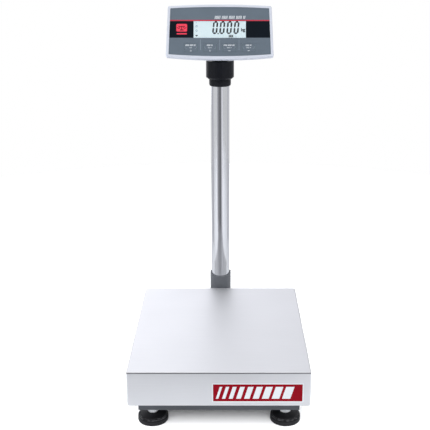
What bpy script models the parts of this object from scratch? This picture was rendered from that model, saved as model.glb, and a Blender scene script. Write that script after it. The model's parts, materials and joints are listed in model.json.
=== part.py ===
"""Bench scale with a stainless pan, four levelling feet, a column and a tilting indicator.

Metres, +Z up. The front faces -Y. The origin is on the floor, under the middle of the whole object.
"""

import math

import bmesh
import bpy
from mathutils import Vector

# Platform
PAN_WIDTH = 0.305
PAN_LENGTH = 0.355
PAN_TOP = 0.1137
SKIRT_DEPTH = 0.0617
SHEET = 0.0015
GAP = 0.0003

# Base frame of pressed steel channel, open below
FRAME_INSET = 0.0165
FRAME_BOTTOM = 0.034
FRAME_TOP = 0.064
RAIL = 0.036
CHANNEL_WALL = 0.0025
CROSS_MEMBER_Y = 0.057
CROSS_MEMBER_HALF = 0.030

# Levelling feet
FOOT_X = 0.114
FOOT_FROM_EDGE = 0.045
FOOT_RADIUS = 0.0259
STUD_RADIUS = 0.005
STUD_CLEARANCE = 0.0003
STUD_BOTTOM, STUD_TOP = 0.0085, 0.0700
HEXAGON_RADIUS, HEXAGON_TOP = 0.0098, 0.0250
PAD_TOP = 0.0165
PAD_PROFILE = (
    (0, 0), (0.0250, 0), (FOOT_RADIUS, 0.0010), (FOOT_RADIUS, 0.0105), (0.0245, 0.0115),
    (0.0228, 0.0115), (0.0222, 0.0125), (0.0212, 0.0135), (0.0105, PAD_TOP),
    (0.0056, PAD_TOP), (0.0056, 0.0080), (0, 0.0080),
)

# Load cell and the carrier that it holds up
CELL = (0.040, 0.150, 0.022)
CELL_BOTTOM = 0.0686
SPACER = 0.004
BOLT_RADIUS = 0.004
BOLT_CLEARANCE = 0.0003
BOLT_OFFSET = 0.012
CARRIER_BOTTOM = 0.0952
CARRIER_TOP = 0.1075
CORNER_X = 0.118
CORNER_Y = 0.105
STOP_TOP = 0.0943

# Column
COLUMN_BEHIND_PAN = 0.028
TUBE_RADIUS = 0.01825
TUBE_WALL = 0.002
TUBE_TOP = PAN_TOP + 0.450
BRACKET_INNER = 0.0186
BRACKET_OUTER = 0.0212
BRACKET_REACH = 0.018
BRACKET_TOP_FRONT = 0.0215
BRACKET_TOP_MIDDLE = 0.0246
BRACKET_SLOPE = math.radians(6.8)
BRACKET_REAR_SLOPE = math.radians(24)
TONGUE_TOP = 0.0337
TONGUE_THICK = 0.004
TONGUE_BOLT_X = 0.022
TONGUE_BOLT_Y = 0.143
CLAMP_SCREW_HEIGHTS = (0.068, 0.116)
CABLE_RADIUS = 0.0022
CABLE_HEIGHT = 0.046
CABLE_HOLE = 0.0034

# Collar and yoke at the column's top, heights above the pan
RING_BOTTOM = PAN_TOP + 0.4095
COLLAR_BOTTOM = PAN_TOP + 0.4213
COLLAR_TOP = PAN_TOP + 0.458
COLLAR_RADIUS = 0.02675
RING_RADIUS = 0.021
PIVOT_HEIGHT = PAN_TOP + 0.490
YOKE_HALF_WIDTH = 0.015
YOKE_HALF_DEPTH = 0.012
PIN_RADIUS = 0.004

# Indicator, measured on its own face: X across, depth into the case, height up the face
LEAN = math.radians(18)
FACE_AHEAD = 0.043
FACE_FOOT_HEIGHT = PAN_TOP + 0.470
FACE_HALF_BOTTOM = 0.10025
FACE_HALF_TOP = 0.0963
FACE_HEIGHT = 0.094
FACE_BOW_BOTTOM = 0.005
FACE_BOW_TOP = 0.0031
OVERLAY_HALF_BOTTOM = 0.0948
OVERLAY_HALF_TOP = 0.0914
OVERLAY_BOTTOM = 0.0047
OVERLAY_TOP = 0.0894
OVERLAY_BOW_BOTTOM = 0.0035
OVERLAY_BOW_TOP = 0.0026
BEZEL_DEPTH = 0.014
BEZEL_PLATE = 0.0032
OVERLAY_POCKET = 0.0014
WINDOW_HALF = 0.0482
WINDOW_BOTTOM = 0.0350
WINDOW_TOP = 0.0662
KEY_PITCH = 0.0358
KEY_HALF = (0.0120, 0.0075)
KEY_HEIGHT = 0.0165
BACK_DEPTH = 0.060
BACK_WALL = 0.0025
SLOT_HALF = 0.0155
SLOT_FRONT = 0.0165
SLOT_TOP = 0.046
BATTERY_DOOR = (0.058, 0.0525, 0.0855)
CASE_SCREWS = ((-0.080, 0.030), (0.080, 0.030), (-0.080, 0.078), (0.080, 0.078))

PAN_HALF = PAN_LENGTH / 2
FRAME_HALF_X = PAN_WIDTH / 2 - FRAME_INSET
FRAME_HALF_Y = PAN_HALF - FRAME_INSET
PIVOT_AHEAD = Vector((FACE_AHEAD, PIVOT_HEIGHT - FACE_FOOT_HEIGHT))
PIVOT_UP = PIVOT_AHEAD.x * math.sin(LEAN) + PIVOT_AHEAD.y * math.cos(LEAN)
PIVOT_DEEP = PIVOT_AHEAD.x * math.cos(LEAN) - PIVOT_AHEAD.y * math.sin(LEAN)
CASE_REAR = 0.0413
PAN_Y = -(COLUMN_BEHIND_PAN + CASE_REAR) / 2
COLUMN_Y = PAN_Y + PAN_HALF + COLUMN_BEHIND_PAN

FINISHES = {
    "stainless": ((0.62, 0.63, 0.65), 1.0, 0.32),
    "painted_steel": ((0.09, 0.10, 0.11), 0.0, 0.5),
    "bracket_paint": ((0.17, 0.18, 0.19), 0.0, 0.5),
    "zinc": ((0.72, 0.74, 0.76), 1.0, 0.3),
    "aluminium": ((0.66, 0.67, 0.68), 1.0, 0.4),
    "rubber": ((0.015, 0.015, 0.017), 0.0, 0.8),
    "black_plastic": ((0.013, 0.014, 0.017), 0.0, 0.45),
    "case_plastic": ((0.69, 0.72, 0.80), 0.0, 0.45),
    "overlay_film": ((0.15, 0.19, 0.22), 0.0, 0.4),
    "display": ((0.75, 0.88, 0.88), 0.0, 0.2),
    "clear": ((0.9, 0.93, 0.9), 0.0, 0.05),
    "circuit_board": ((0.02, 0.16, 0.07), 0.0, 0.5),
    "battery": ((0.05, 0.09, 0.22), 0.0, 0.4),
    "cable_jacket": ((0.03, 0.03, 0.03), 0.0, 0.6),
}


def finish_of(name):
    """The material of that finish, made once."""
    made = bpy.data.materials.get(name)
    if made:
        return made
    made = bpy.data.materials.new(name)
    made.use_nodes = True
    colour, metallic, roughness = FINISHES[name]
    shader = made.node_tree.nodes["Principled BSDF"]
    shader.inputs["Base Color"].default_value = (*colour, 1)
    shader.inputs["Metallic"].default_value = metallic
    shader.inputs["Roughness"].default_value = roughness
    made.diffuse_color = (*colour, 1)
    return made


def group(name, location, lean=0.0):
    """An empty on a joint's axis, or at the middle of fixed parts."""
    empty = bpy.data.objects.new(name, None)
    empty.location = location
    empty.rotation_euler = (-lean, 0, 0)
    bpy.context.scene.collection.objects.link(empty)
    return empty


def place(name, bm, parent, finish=None, at=(0, 0, 0), turned=(0, 0, 0)):
    """A bmesh as an object under its group. Without a finish it is a cutter."""
    mesh = bpy.data.meshes.new(name)
    bm.to_mesh(mesh)
    bm.free()
    thing = bpy.data.objects.new(name, mesh)
    bpy.context.scene.collection.objects.link(thing)
    thing.parent = parent
    thing.location = at
    thing.rotation_euler = turned
    if finish:
        mesh.materials.append(finish_of(finish))
        mesh.shade_smooth()
        mesh.set_sharp_from_angle(angle=math.radians(32))
    else:
        thing.hide_render = True
        thing.display_type = "WIRE"
    return thing


def block(name, low, high, parent, finish=None, bevel=0.0, turned=(0, 0, 0), at=(0, 0, 0)):
    """A box between two corners."""
    low, high = Vector(low), Vector(high)
    bm = bmesh.new()
    bmesh.ops.create_cube(bm, size=1)
    bmesh.ops.scale(bm, vec=high - low, verts=bm.verts)
    bmesh.ops.translate(bm, vec=(high + low) / 2, verts=bm.verts)
    if bevel:
        bmesh.ops.bevel(bm, geom=bm.edges, offset=bevel, affect="EDGES", segments=1, profile=0.5)
    return place(name, bm, parent, finish, at, turned)


def rod(name, radius, low, high, parent, finish=None, at=(0, 0, 0), turned=(0, 0, 0), sides=20):
    """A round or six-sided bar along Z."""
    bm = bmesh.new()
    bmesh.ops.create_cone(
        bm, cap_ends=True, segments=sides, radius1=radius, radius2=radius, depth=high - low
    )
    bmesh.ops.translate(bm, vec=(0, 0, (high + low) / 2), verts=bm.verts)
    return place(name, bm, parent, finish, at, turned)


def turned_part(name, profile, parent, finish, at=(0, 0, 0), turned=(0, 0, 0), sides=28):
    """A profile of (radius, height) points turned about Z. One that leaves the axis is a ring."""
    bm = bmesh.new()
    points = [bm.verts.new((radius, 0, height)) for radius, height in profile]
    ends = list(zip(points, points[1:]))
    if profile[0][0] > 0:
        ends.append((points[-1], points[0]))
    lines = [bm.edges.new(pair) for pair in ends]
    bmesh.ops.spin(
        bm, geom=points + lines, cent=(0, 0, 0), axis=(0, 0, 1), angle=2 * math.pi,
        steps=sides, use_merge=True,
    )
    bmesh.ops.remove_doubles(bm, verts=bm.verts, dist=1e-6)
    bmesh.ops.recalc_face_normals(bm, faces=bm.faces)
    return place(name, bm, parent, finish, at, turned)


def prism(name, outline, low, high, parent, finish=None, across="Z", at=(0, 0, 0)):
    """An outline pushed from low to high along Z, or along Y as depth into the indicator."""
    bm = bmesh.new()
    if across == "Z":
        points = [bm.verts.new((x, y, low)) for x, y in outline]
    else:
        points = [bm.verts.new((x, low, z)) for x, z in outline]
    face = bm.faces.new(points)
    pushed = bmesh.ops.extrude_face_region(bm, geom=[face])["geom"]
    along = Vector((0, 0, high - low)) if across == "Z" else Vector((0, high - low, 0))
    moved = [v for v in pushed if isinstance(v, bmesh.types.BMVert)]
    bmesh.ops.translate(bm, vec=along, verts=moved)
    bmesh.ops.recalc_face_normals(bm, faces=bm.faces)
    return place(name, bm, parent, finish, at)


def boolean(thing, other, operation):
    modifier = thing.modifiers.new(other.name, "BOOLEAN")
    modifier.operation = operation
    modifier.object = other
    modifier.solver = "EXACT"


def cut(thing, *cutters):
    for cutter in cutters:
        boolean(thing, cutter, "DIFFERENCE")


def add(thing, *others):
    for other in others:
        boolean(thing, other, "UNION")


def build_pan(pan):
    """The folded stainless cover, open below, which lifts off its rubber pads."""
    half_x, half_y = PAN_WIDTH / 2, PAN_LENGTH / 2
    bottom = PAN_TOP - SKIRT_DEPTH
    bm = bmesh.new()
    bmesh.ops.create_cube(bm, size=1)
    bmesh.ops.scale(bm, vec=(PAN_WIDTH, PAN_LENGTH, SKIRT_DEPTH), verts=bm.verts)
    bmesh.ops.translate(bm, vec=(0, 0, PAN_TOP - SKIRT_DEPTH / 2), verts=bm.verts)
    folds = [e for e in bm.edges if max(v.co.z for v in e.verts) > bottom + 0.001]
    bmesh.ops.bevel(bm, geom=folds, offset=0.003, affect="EDGES", segments=3, profile=0.5)
    cover = place("platform_cover", bm, pan, "stainless")
    inside = block(
        "pan_inside",
        (SHEET - half_x, SHEET - half_y, bottom - 0.01),
        (half_x - SHEET, half_y - SHEET, PAN_TOP - SHEET),
        pan,
    )
    cut(cover, inside)


def build_frame(base):
    """A ring of channel with one cross member, bosses for the feet and holes for the bolts."""
    hx, hy = FRAME_HALF_X, FRAME_HALF_Y
    frame = block("base_frame", (-hx, -hy, FRAME_BOTTOM), (hx, hy, FRAME_TOP), base, "painted_steel")
    inner_x, inner_y = hx - RAIL, hy - RAIL
    front_side = CROSS_MEMBER_Y - CROSS_MEMBER_HALF
    rear_side = CROSS_MEMBER_Y + CROSS_MEMBER_HALF
    low, high, web = FRAME_BOTTOM - 0.01, FRAME_TOP + 0.01, FRAME_TOP - CHANNEL_WALL
    cut(
        frame,
        block("front_well", (-inner_x, -inner_y, low), (inner_x, front_side, high), base),
        block("rear_well", (-inner_x, rear_side, low), (inner_x, inner_y, high), base),
    )
    wall = CHANNEL_WALL
    for side in (-1, 1):
        xs = sorted((side * (inner_x + wall), side * (hx - wall)))
        ys = sorted((side * (inner_y + wall), side * (hy - wall)))
        cut(
            frame,
            block(f"side_channel_{side}", (xs[0], wall - hy, low), (xs[1], hy - wall, web), base),
            block(f"end_channel_{side}", (wall - hx, ys[0], low), (hx - wall, ys[1], web), base),
        )
    cross_low = (-inner_x - 2 * wall, front_side + wall, low)
    cut(frame, block("cross_channel", cross_low, (inner_x + 2 * wall, rear_side - wall, web), base))
    bores = []
    for i, (x, y) in enumerate(foot_places()):
        add(frame, rod(f"foot_boss_{i}", 0.009, FRAME_BOTTOM, web + 0.001, base, at=(x, y, 0)))
        bores.append((x, y, STUD_RADIUS + STUD_CLEARANCE))
    for x in (-TONGUE_BOLT_X, TONGUE_BOLT_X):
        add(frame, rod(f"tongue_boss_{x}", 0.009, FRAME_BOTTOM, web + 0.001, base, at=(x, TONGUE_BOLT_Y, 0)))
        bores.append((x, TONGUE_BOLT_Y, BOLT_RADIUS + BOLT_CLEARANCE))
    for side in (-1, 1):
        bores.append((0, CROSS_MEMBER_Y + side * BOLT_OFFSET, BOLT_RADIUS + BOLT_CLEARANCE))
    for x, y in corner_places():
        bores.append((x, y, BOLT_RADIUS + BOLT_CLEARANCE))
    for i, (x, y, radius) in enumerate(bores):
        cut(frame, rod(f"frame_bore_{i}", radius, low, high, base, at=(x, y, 0), sides=16))
    quarter = (math.pi / 2, 0, 0)
    cable_way = rod("cable_way", CABLE_HOLE, 0, 0.06, base, at=(0, hy + 0.01, CABLE_HEIGHT), turned=quarter)
    cut(frame, cable_way)


def foot_places():
    y = PAN_HALF - FOOT_FROM_EDGE
    return [(-FOOT_X, -y), (FOOT_X, -y), (-FOOT_X, y), (FOOT_X, y)]


def corner_places():
    return [(x * CORNER_X, y * CORNER_Y) for y in (-1, 1) for x in (-1, 1)]


def build_foot(name, foot, hex_turn):
    """A two-step rubber foot with a hexagon stud turning in it."""
    turned_part(f"foot_pad_{name}", PAD_PROFILE, foot, "rubber")
    stud = rod(f"foot_stud_{name}", STUD_RADIUS, STUD_BOTTOM, STUD_TOP, foot, "zinc", sides=16)
    spin = (0, 0, math.radians(hex_turn))
    add(stud, rod(f"hexagon_{name}", HEXAGON_RADIUS, PAD_TOP + GAP, HEXAGON_TOP, foot, turned=spin, sides=6))


def build_load_cell(base, carrier):
    """The bending beam between two spacers, with its four bolts."""
    half_x, half_y, height = CELL[0] / 2, CELL[1] / 2, CELL[2]
    top = CELL_BOTTOM + height
    cell = block("load_cell", (-half_x, -half_y, CELL_BOTTOM), (half_x, half_y, top), base, "aluminium", 0.001)
    middle = CELL_BOTTOM + height / 2
    sideways = (0, math.pi / 2, 0)
    for side in (-1, 1):
        eye = rod(f"cell_eye_{side}", 0.0075, -0.03, 0.03, base, at=(0, side * 0.014, middle), turned=sideways)
        cut(cell, eye)
    cut(cell, block("cell_slit", (-0.03, -0.014, middle - 0.0015), (0.03, 0.014, middle + 0.0015), base))
    bolt_hole = BOLT_RADIUS + BOLT_CLEARANCE
    for end, sign, parent in (("lower", 1, base), ("upper", -1, carrier)):
        y = sign * CROSS_MEMBER_Y
        if sign > 0:
            low, bolt_low, bolt_high, head = CELL_BOTTOM - GAP - SPACER, 0.0559, 0.0820, (0.0559, 0.0612)
        else:
            low, bolt_low, bolt_high, head = top + GAP, 0.0770, 0.1070, (0.1018, 0.1071)
        spacer = block(
            f"cell_spacer_{end}", (-half_x, y - 0.025, low), (half_x, y + 0.025, low + SPACER), parent, "zinc"
        )
        for i, offset in enumerate((-BOLT_OFFSET, BOLT_OFFSET)):
            at = (0, y + offset, 0)
            hole = rod(f"cell_hole_{end}_{i}", bolt_hole, 0.0500, 0.1150, base, at=at, sides=16)
            cut(cell, hole)
            cut(spacer, hole)
            bolt = rod(f"cell_bolt_{end}_{i + 1}", BOLT_RADIUS, bolt_low, bolt_high, parent, "zinc", at, sides=16)
            add(bolt, rod(f"cell_bolt_head_{end}_{i}", 0.0065, *head, parent, at=at, sides=16))


def build_carrier(carrier):
    """The H-shaped casting that the pan rests on, with a rubber pad at each end."""
    half, out, near, far = 0.030, 0.130, 0.090, 0.120
    right = [(half, near), (out, near), (out, far), (-out, far), (-out, near), (-half, near)]
    outline = right + [(-x, -y) for x, y in right]
    casting = prism("load_carrier", outline, CARRIER_BOTTOM, CARRIER_TOP, carrier, "aluminium")
    for i, offset in enumerate((-BOLT_OFFSET, BOLT_OFFSET)):
        at = (0, offset - CROSS_MEMBER_Y, 0)
        hole = rod(f"carrier_hole_{i}", BOLT_RADIUS + BOLT_CLEARANCE, 0.09, 0.12, carrier, at=at, sides=16)
        sink = rod(f"carrier_sink_{i}", 0.0072, 0.1015, 0.12, carrier, at=at, sides=16)
        cut(casting, hole, sink)
    for i, (x, y) in enumerate(corner_places()):
        pad_low = CARRIER_TOP + GAP
        rod(f"pan_pad_{i + 1}", 0.009, pad_low, PAN_TOP - SHEET - GAP, carrier, "rubber", (x, y, 0), sides=16)


def build_stops(base):
    """Overload stop screws with their lock nuts, just under the carrier's ends."""
    for i, (x, y) in enumerate(corner_places()):
        at = (x, y, 0)
        screw = rod(f"overload_stop_{i + 1}", BOLT_RADIUS, 0.0520, STOP_TOP, base, "zinc", at, sides=12)
        add(screw, rod(f"stop_nut_{i}", 0.0075, FRAME_TOP + GAP, 0.0708, base, at=at, sides=6))


def build_level(base):
    """The bubble level on the front rail."""
    at = (0, RAIL / 2 - FRAME_HALF_Y, 0)
    low = FRAME_TOP + GAP
    cup = [(0, low), (0.0095, low), (0.0095, 0.0735), (0.0070, 0.0735), (0.0070, 0.0675), (0, 0.0675)]
    turned_part("level_cup", cup, base, "black_plastic", at, sides=20)
    rod("level_vial", 0.0067, 0.0675 + GAP, 0.0740, base, "clear", at, sides=20)


def build_bracket(column):
    """The bracket round the column's foot: a round-fronted channel on a tongue under the frame."""
    front = [(math.pi + math.pi * i / 16) for i in range(17)]
    outer = [(BRACKET_OUTER * math.cos(a), BRACKET_OUTER * math.sin(a)) for a in front]
    inner = [(BRACKET_INNER * math.cos(a), BRACKET_INNER * math.sin(a)) for a in reversed(front)]
    arms = [(BRACKET_OUTER, BRACKET_REACH), (BRACKET_INNER, BRACKET_REACH)]
    back = [(-BRACKET_INNER, BRACKET_REACH), (-BRACKET_OUTER, BRACKET_REACH)]
    low = TONGUE_TOP - TONGUE_THICK
    bracket = prism(
        "column_bracket", outer + arms + inner + back, TONGUE_TOP - 0.001, PAN_TOP + 0.04, column, "bracket_paint"
    )
    tongue_front = FRAME_HALF_Y - RAIL + 0.004 - (PAN_HALF + COLUMN_BEHIND_PAN)
    tongue = block("tongue", (-0.036, tongue_front, low), (0.036, 0.0226, TONGUE_TOP), column)
    add(bracket, tongue)
    slope = (BRACKET_SLOPE, 0, 0)
    top = PAN_TOP + BRACKET_TOP_FRONT
    cut(
        bracket,
        block("bracket_top", (-0.05, -0.01, 0), (0.05, 0.09, 0.05), column, turned=slope, at=(0, -BRACKET_OUTER, top)),
    )
    slope, top = (-BRACKET_REAR_SLOPE, 0, 0), PAN_TOP + BRACKET_TOP_MIDDLE
    cut(bracket, block("bracket_rear", (-0.05, 0, 0), (0.05, 0.09, 0.05), column, turned=slope, at=(0, 0.0007, top)))
    screw_y = TONGUE_BOLT_Y - PAN_HALF - COLUMN_BEHIND_PAN
    for i, x in enumerate((-TONGUE_BOLT_X, TONGUE_BOLT_X)):
        at = (x, screw_y, 0)
        cut(bracket, rod(f"tongue_hole_{i}", BOLT_RADIUS + BOLT_CLEARANCE, 0.02, 0.04, column, at=at, sides=16))
        name = ("left", "right")[i]
        bolt = rod(f"bracket_bolt_{name}", BOLT_RADIUS, 0.0240, 0.0560, column, "zinc", at, sides=16)
        add(bolt, rod(f"bracket_bolt_head_{i}", 0.0075, 0.0240, low - GAP, column, at=at, sides=6))
    quarter = (math.pi / 2, 0, 0)
    hole = rod("bracket_cable_hole", CABLE_HOLE, 0, 0.03, column, at=(0, 0, CABLE_HEIGHT), turned=quarter)
    cut(bracket, hole)
    return hole


def build_tube(column, cable_hole):
    """The column tube, the strap behind its foot and the two screws through them."""
    inner = TUBE_RADIUS - TUBE_WALL
    low = TONGUE_TOP + GAP
    wall = [(inner, low), (TUBE_RADIUS, low), (TUBE_RADIUS, TUBE_TOP), (inner, TUBE_TOP)]
    tube = turned_part("column_tube", wall, column, "stainless", sides=32)
    cut(tube, cable_hole)
    strap_front = BRACKET_INNER
    strap = block(
        "column_strap", (-BRACKET_OUTER, strap_front, 0.050), (BRACKET_OUTER, strap_front + 0.004, 0.134),
        column, "bracket_paint", 0.0006,
    )
    quarter = (-math.pi / 2, 0, 0)
    head = strap_front + 0.004 + GAP
    for i, height in enumerate(CLAMP_SCREW_HEIGHTS):
        at = (0, 0, height)
        hole = rod(f"strap_hole_{i}", 0.0033, 0.008, 0.03, column, at=at, turned=quarter, sides=16)
        cut(tube, hole)
        cut(strap, hole)
        name = ("lower", "upper")[i]
        screw = rod(f"column_screw_{name}", 0.003, 0.0100, head + 0.002, column, "zinc", at, quarter, sides=16)
        add(screw, rod(f"column_screw_head_{i}", 0.005, head, head + 0.004, column, at=at, turned=quarter, sides=16))


def smooth_points(route, spacing):
    """Points at about that spacing on a smooth curve through the route's points."""
    ends = [route[0]] + route + [route[-1]]
    points = []
    for a, b, c, d in zip(ends, ends[1:], ends[2:], ends[3:]):
        a, b, c, d = (Vector(p) for p in (a, b, c, d))
        steps = max(1, round((c - b).length / spacing))
        for i in range(steps):
            t = i / steps
            points.append(
                0.5 * (2 * b + (c - a) * t + (2 * a - 5 * b + 4 * c - d) * t**2 + (3 * b - a - 3 * c + d) * t**3)
            )
    return points + [Vector(route[-1])]


def build_cable():
    """The load cell's lead: out of the cell's fixed end, through the rear rail and up the column."""
    start = PAN_Y + CELL[1] / 2 + GAP
    rail = PAN_Y + FRAME_HALF_Y
    inside = COLUMN_Y - 0.006
    route = [
        (0, start, 0.0796), (0, start + 0.010, 0.0785), (0, start + 0.024, 0.0640),
        (0, start + 0.036, 0.0500), (0, rail - 0.030, CABLE_HEIGHT), (0, rail, CABLE_HEIGHT),
        (0, COLUMN_Y - 0.022, CABLE_HEIGHT), (0, COLUMN_Y - 0.013, CABLE_HEIGHT + 0.0025),
        (0, inside, CABLE_HEIGHT + 0.012), (0, inside, 0.10), (0, inside, 0.25), (0, inside, 0.40), (0, inside, 0.553),
    ]
    points = smooth_points(route[:9], 0.006) + [Vector(p) for p in route[9:]]
    curve = bpy.data.curves.new("load_cell_cable", "CURVE")
    curve.dimensions = "3D"
    curve.bevel_depth = CABLE_RADIUS
    curve.bevel_resolution = 2
    curve.use_fill_caps = True
    spline = curve.splines.new("POLY")
    spline.points.add(len(points) - 1)
    for point, co in zip(spline.points, points):
        point.co = (*co, 1)
    curve.materials.append(finish_of("cable_jacket"))
    cable = bpy.data.objects.new("load_cell_cable", curve)
    bpy.context.scene.collection.objects.link(cable)


def build_head(ring, head):
    """The clamp ring on the tube, the collar over it, and the yoke that holds the indicator."""
    bore = TUBE_RADIUS + 0.00035
    band = [
        (bore, RING_BOTTOM), (0.0190, RING_BOTTOM), (0.0203, RING_BOTTOM + 0.0012),
        (RING_RADIUS, RING_BOTTOM + 0.0035), (RING_RADIUS, COLLAR_BOTTOM - GAP), (bore, COLLAR_BOTTOM - GAP),
    ]
    turned_part("clamp_ring", band, ring, "black_plastic", at=(0, 0, -RING_BOTTOM), sides=32)
    cap = TUBE_TOP + 0.0015
    shell = [
        (bore, COLLAR_BOTTOM), (RING_RADIUS, COLLAR_BOTTOM), (COLLAR_RADIUS, COLLAR_BOTTOM + 0.0047),
        (COLLAR_RADIUS, COLLAR_TOP - 0.001), (COLLAR_RADIUS - 0.001, COLLAR_TOP), (0.006, COLLAR_TOP),
        (0.006, cap), (bore, cap),
    ]
    down = (0, 0, -COLLAR_BOTTOM)
    collar = turned_part("column_collar", shell, head, "black_plastic", at=down, sides=32)
    screw_height = COLLAR_BOTTOM + 0.020
    quarter = (-math.pi / 2, 0, 0)
    at = (0, 0, screw_height - COLLAR_BOTTOM)
    cut(collar, rod("collar_screw_hole", 0.0028, 0.016, 0.04, head, at=at, turned=quarter, sides=16))
    knob = [
        (0, 0.0190), (0.0025, 0.0190), (0.0025, 0.0272), (0.0075, 0.0272), (0.0080, 0.0285),
        (0.0080, 0.0340), (0.0070, 0.0350), (0, 0.0350),
    ]
    turned_part("collar_screw", knob, head, "black_plastic", at, quarter, sides=16)
    rise = PIVOT_HEIGHT - COLLAR_BOTTOM
    foot = COLLAR_TOP + GAP - COLLAR_BOTTOM
    arch = [math.pi * i / 10 for i in range(11)]
    side = [(YOKE_HALF_DEPTH * math.cos(a), YOKE_HALF_DEPTH * math.sin(a)) for a in arch]
    side += [(-YOKE_HALF_DEPTH, foot - rise), (YOKE_HALF_DEPTH, foot - rise)]
    bm = bmesh.new()
    face = bm.faces.new([bm.verts.new((-YOKE_HALF_WIDTH, y, z)) for y, z in side])
    pushed = bmesh.ops.extrude_face_region(bm, geom=[face])["geom"]
    moved = [v for v in pushed if isinstance(v, bmesh.types.BMVert)]
    bmesh.ops.translate(bm, vec=(2 * YOKE_HALF_WIDTH, 0, 0), verts=moved)
    bmesh.ops.recalc_face_normals(bm, faces=bm.faces)
    yoke = place("tilt_yoke", bm, head, "black_plastic", (0, 0, rise))
    sideways = (0, math.pi / 2, 0)
    at = (0, 0, rise)
    cut(yoke, rod("yoke_bore", PIN_RADIUS + GAP, -0.03, 0.03, head, at=at, turned=sideways, sides=16))
    rod("tilt_pin", PIN_RADIUS, -0.0215, 0.0215, head, "zinc", at, sideways, sides=16)


def face_outline(half_bottom, half_top, bottom, top, bow_bottom, bow_top, inset=0.0):
    """The indicator's outline, whose top and bottom edges bow outwards. Points are (x, height)."""
    steps = 10
    points = []
    for i in range(steps + 1):
        across = 2 * i / steps - 1
        points.append(((half_bottom - inset) * across, bottom + inset - bow_bottom * (1 - across**2)))
    for i in range(steps + 1):
        across = 1 - 2 * i / steps
        points.append(((half_top - inset) * across, top - inset + bow_top * (1 - across**2)))
    return points


def case_outline(inset=0.0):
    return face_outline(
        FACE_HALF_BOTTOM, FACE_HALF_TOP, 0, FACE_HEIGHT, FACE_BOW_BOTTOM, FACE_BOW_TOP, inset
    )


def on_face(outline):
    """The outline with its heights counted from the tilt pin."""
    return [(x, height - PIVOT_UP) for x, height in outline]


def depth(value):
    """Depth into the case, counted from the tilt pin."""
    return value - PIVOT_DEEP


def face_block(name, half_x, heights, depths, parent, finish=None, x=0.0, bevel=0.0):
    low = (x - half_x, depth(depths[0]), heights[0] - PIVOT_UP)
    high = (x + half_x, depth(depths[1]), heights[1] - PIVOT_UP)
    return block(name, low, high, parent, finish, bevel)


def key_heights(grow=0.0):
    return (KEY_HEIGHT - KEY_HALF[1] - grow, KEY_HEIGHT + KEY_HALF[1] + grow)


def build_front(case):
    """The bezel, the film overlay in its pocket, the display and its window."""
    bezel = prism("front_bezel", on_face(case_outline()), depth(0), depth(BEZEL_DEPTH), case, "case_plastic", "Y")
    hollow = on_face(case_outline(0.0028))
    cut(bezel, prism("bezel_hollow", hollow, depth(BEZEL_PLATE), depth(BEZEL_DEPTH + 0.01), case, None, "Y"))
    sizes = (
        OVERLAY_HALF_BOTTOM, OVERLAY_HALF_TOP, OVERLAY_BOTTOM, OVERLAY_TOP, OVERLAY_BOW_BOTTOM, OVERLAY_BOW_TOP
    )
    pocket = on_face(face_outline(*sizes, inset=-GAP))
    cut(bezel, prism("overlay_pocket", pocket, depth(-0.01), depth(OVERLAY_POCKET), case, None, "Y"))
    film = prism(
        "overlay_film", on_face(face_outline(*sizes)), depth(GAP), depth(OVERLAY_POCKET - GAP), case, "overlay_film", "Y"
    )
    opening = face_block("window_opening", WINDOW_HALF + GAP, (WINDOW_BOTTOM - GAP, WINDOW_TOP + GAP), (-0.01, 0.005), case)
    cut(bezel, opening)
    cut(film, opening)
    face_block("display_window", WINDOW_HALF, (WINDOW_BOTTOM, WINDOW_TOP), (GAP, 0.0022), case, "clear")
    face_block("lcd_module", 0.055, (0.0290, 0.0725), (BEZEL_PLATE + GAP, 0.0095), case, "display")
    for i in range(4):
        x = (i - 1.5) * KEY_PITCH
        hole = face_block(f"key_hole_{i}", KEY_HALF[0] + GAP, key_heights(GAP), (-0.01, 0.005), case, x=x)
        cut(bezel, hole)
        cut(film, hole)
    return bezel


def build_keys(keys):
    """Four keys that sink a little into the case: a flat cap on a post."""
    for key in keys:
        name = key.name.replace("_axis", "")
        half_x, half_z = KEY_HALF
        cap = block(name, (-half_x, 0, -half_z), (half_x, 0.0008, half_z), key, "overlay_film")
        post = rod(f"{name}_post", 0.003, -0.0095, -0.0005, key, turned=(math.pi / 2, 0, 0), sides=12)
        add(cap, post)


def shell_outline(inset, lift):
    """The rear shell's outline, whose lower edge rises towards the back."""
    return face_outline(
        FACE_HALF_BOTTOM, FACE_HALF_TOP, lift, FACE_HEIGHT, FACE_BOW_BOTTOM, FACE_BOW_TOP, inset
    )


def tapered(name, rings, parent, finish=None):
    """A closed solid through outlines of equal count, each at its own depth."""
    bm = bmesh.new()
    loops = []
    for outline, deep in rings:
        loops.append([bm.verts.new((x, depth(deep), z)) for x, z in on_face(outline)])
    for near, far in zip(loops, loops[1:]):
        for i in range(len(near)):
            j = (i + 1) % len(near)
            bm.faces.new((near[i], near[j], far[j], far[i]))
    bm.faces.new(loops[0])
    bm.faces.new(reversed(loops[-1]))
    bmesh.ops.recalc_face_normals(bm, faces=bm.faces)
    return place(name, bm, parent, finish)


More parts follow.
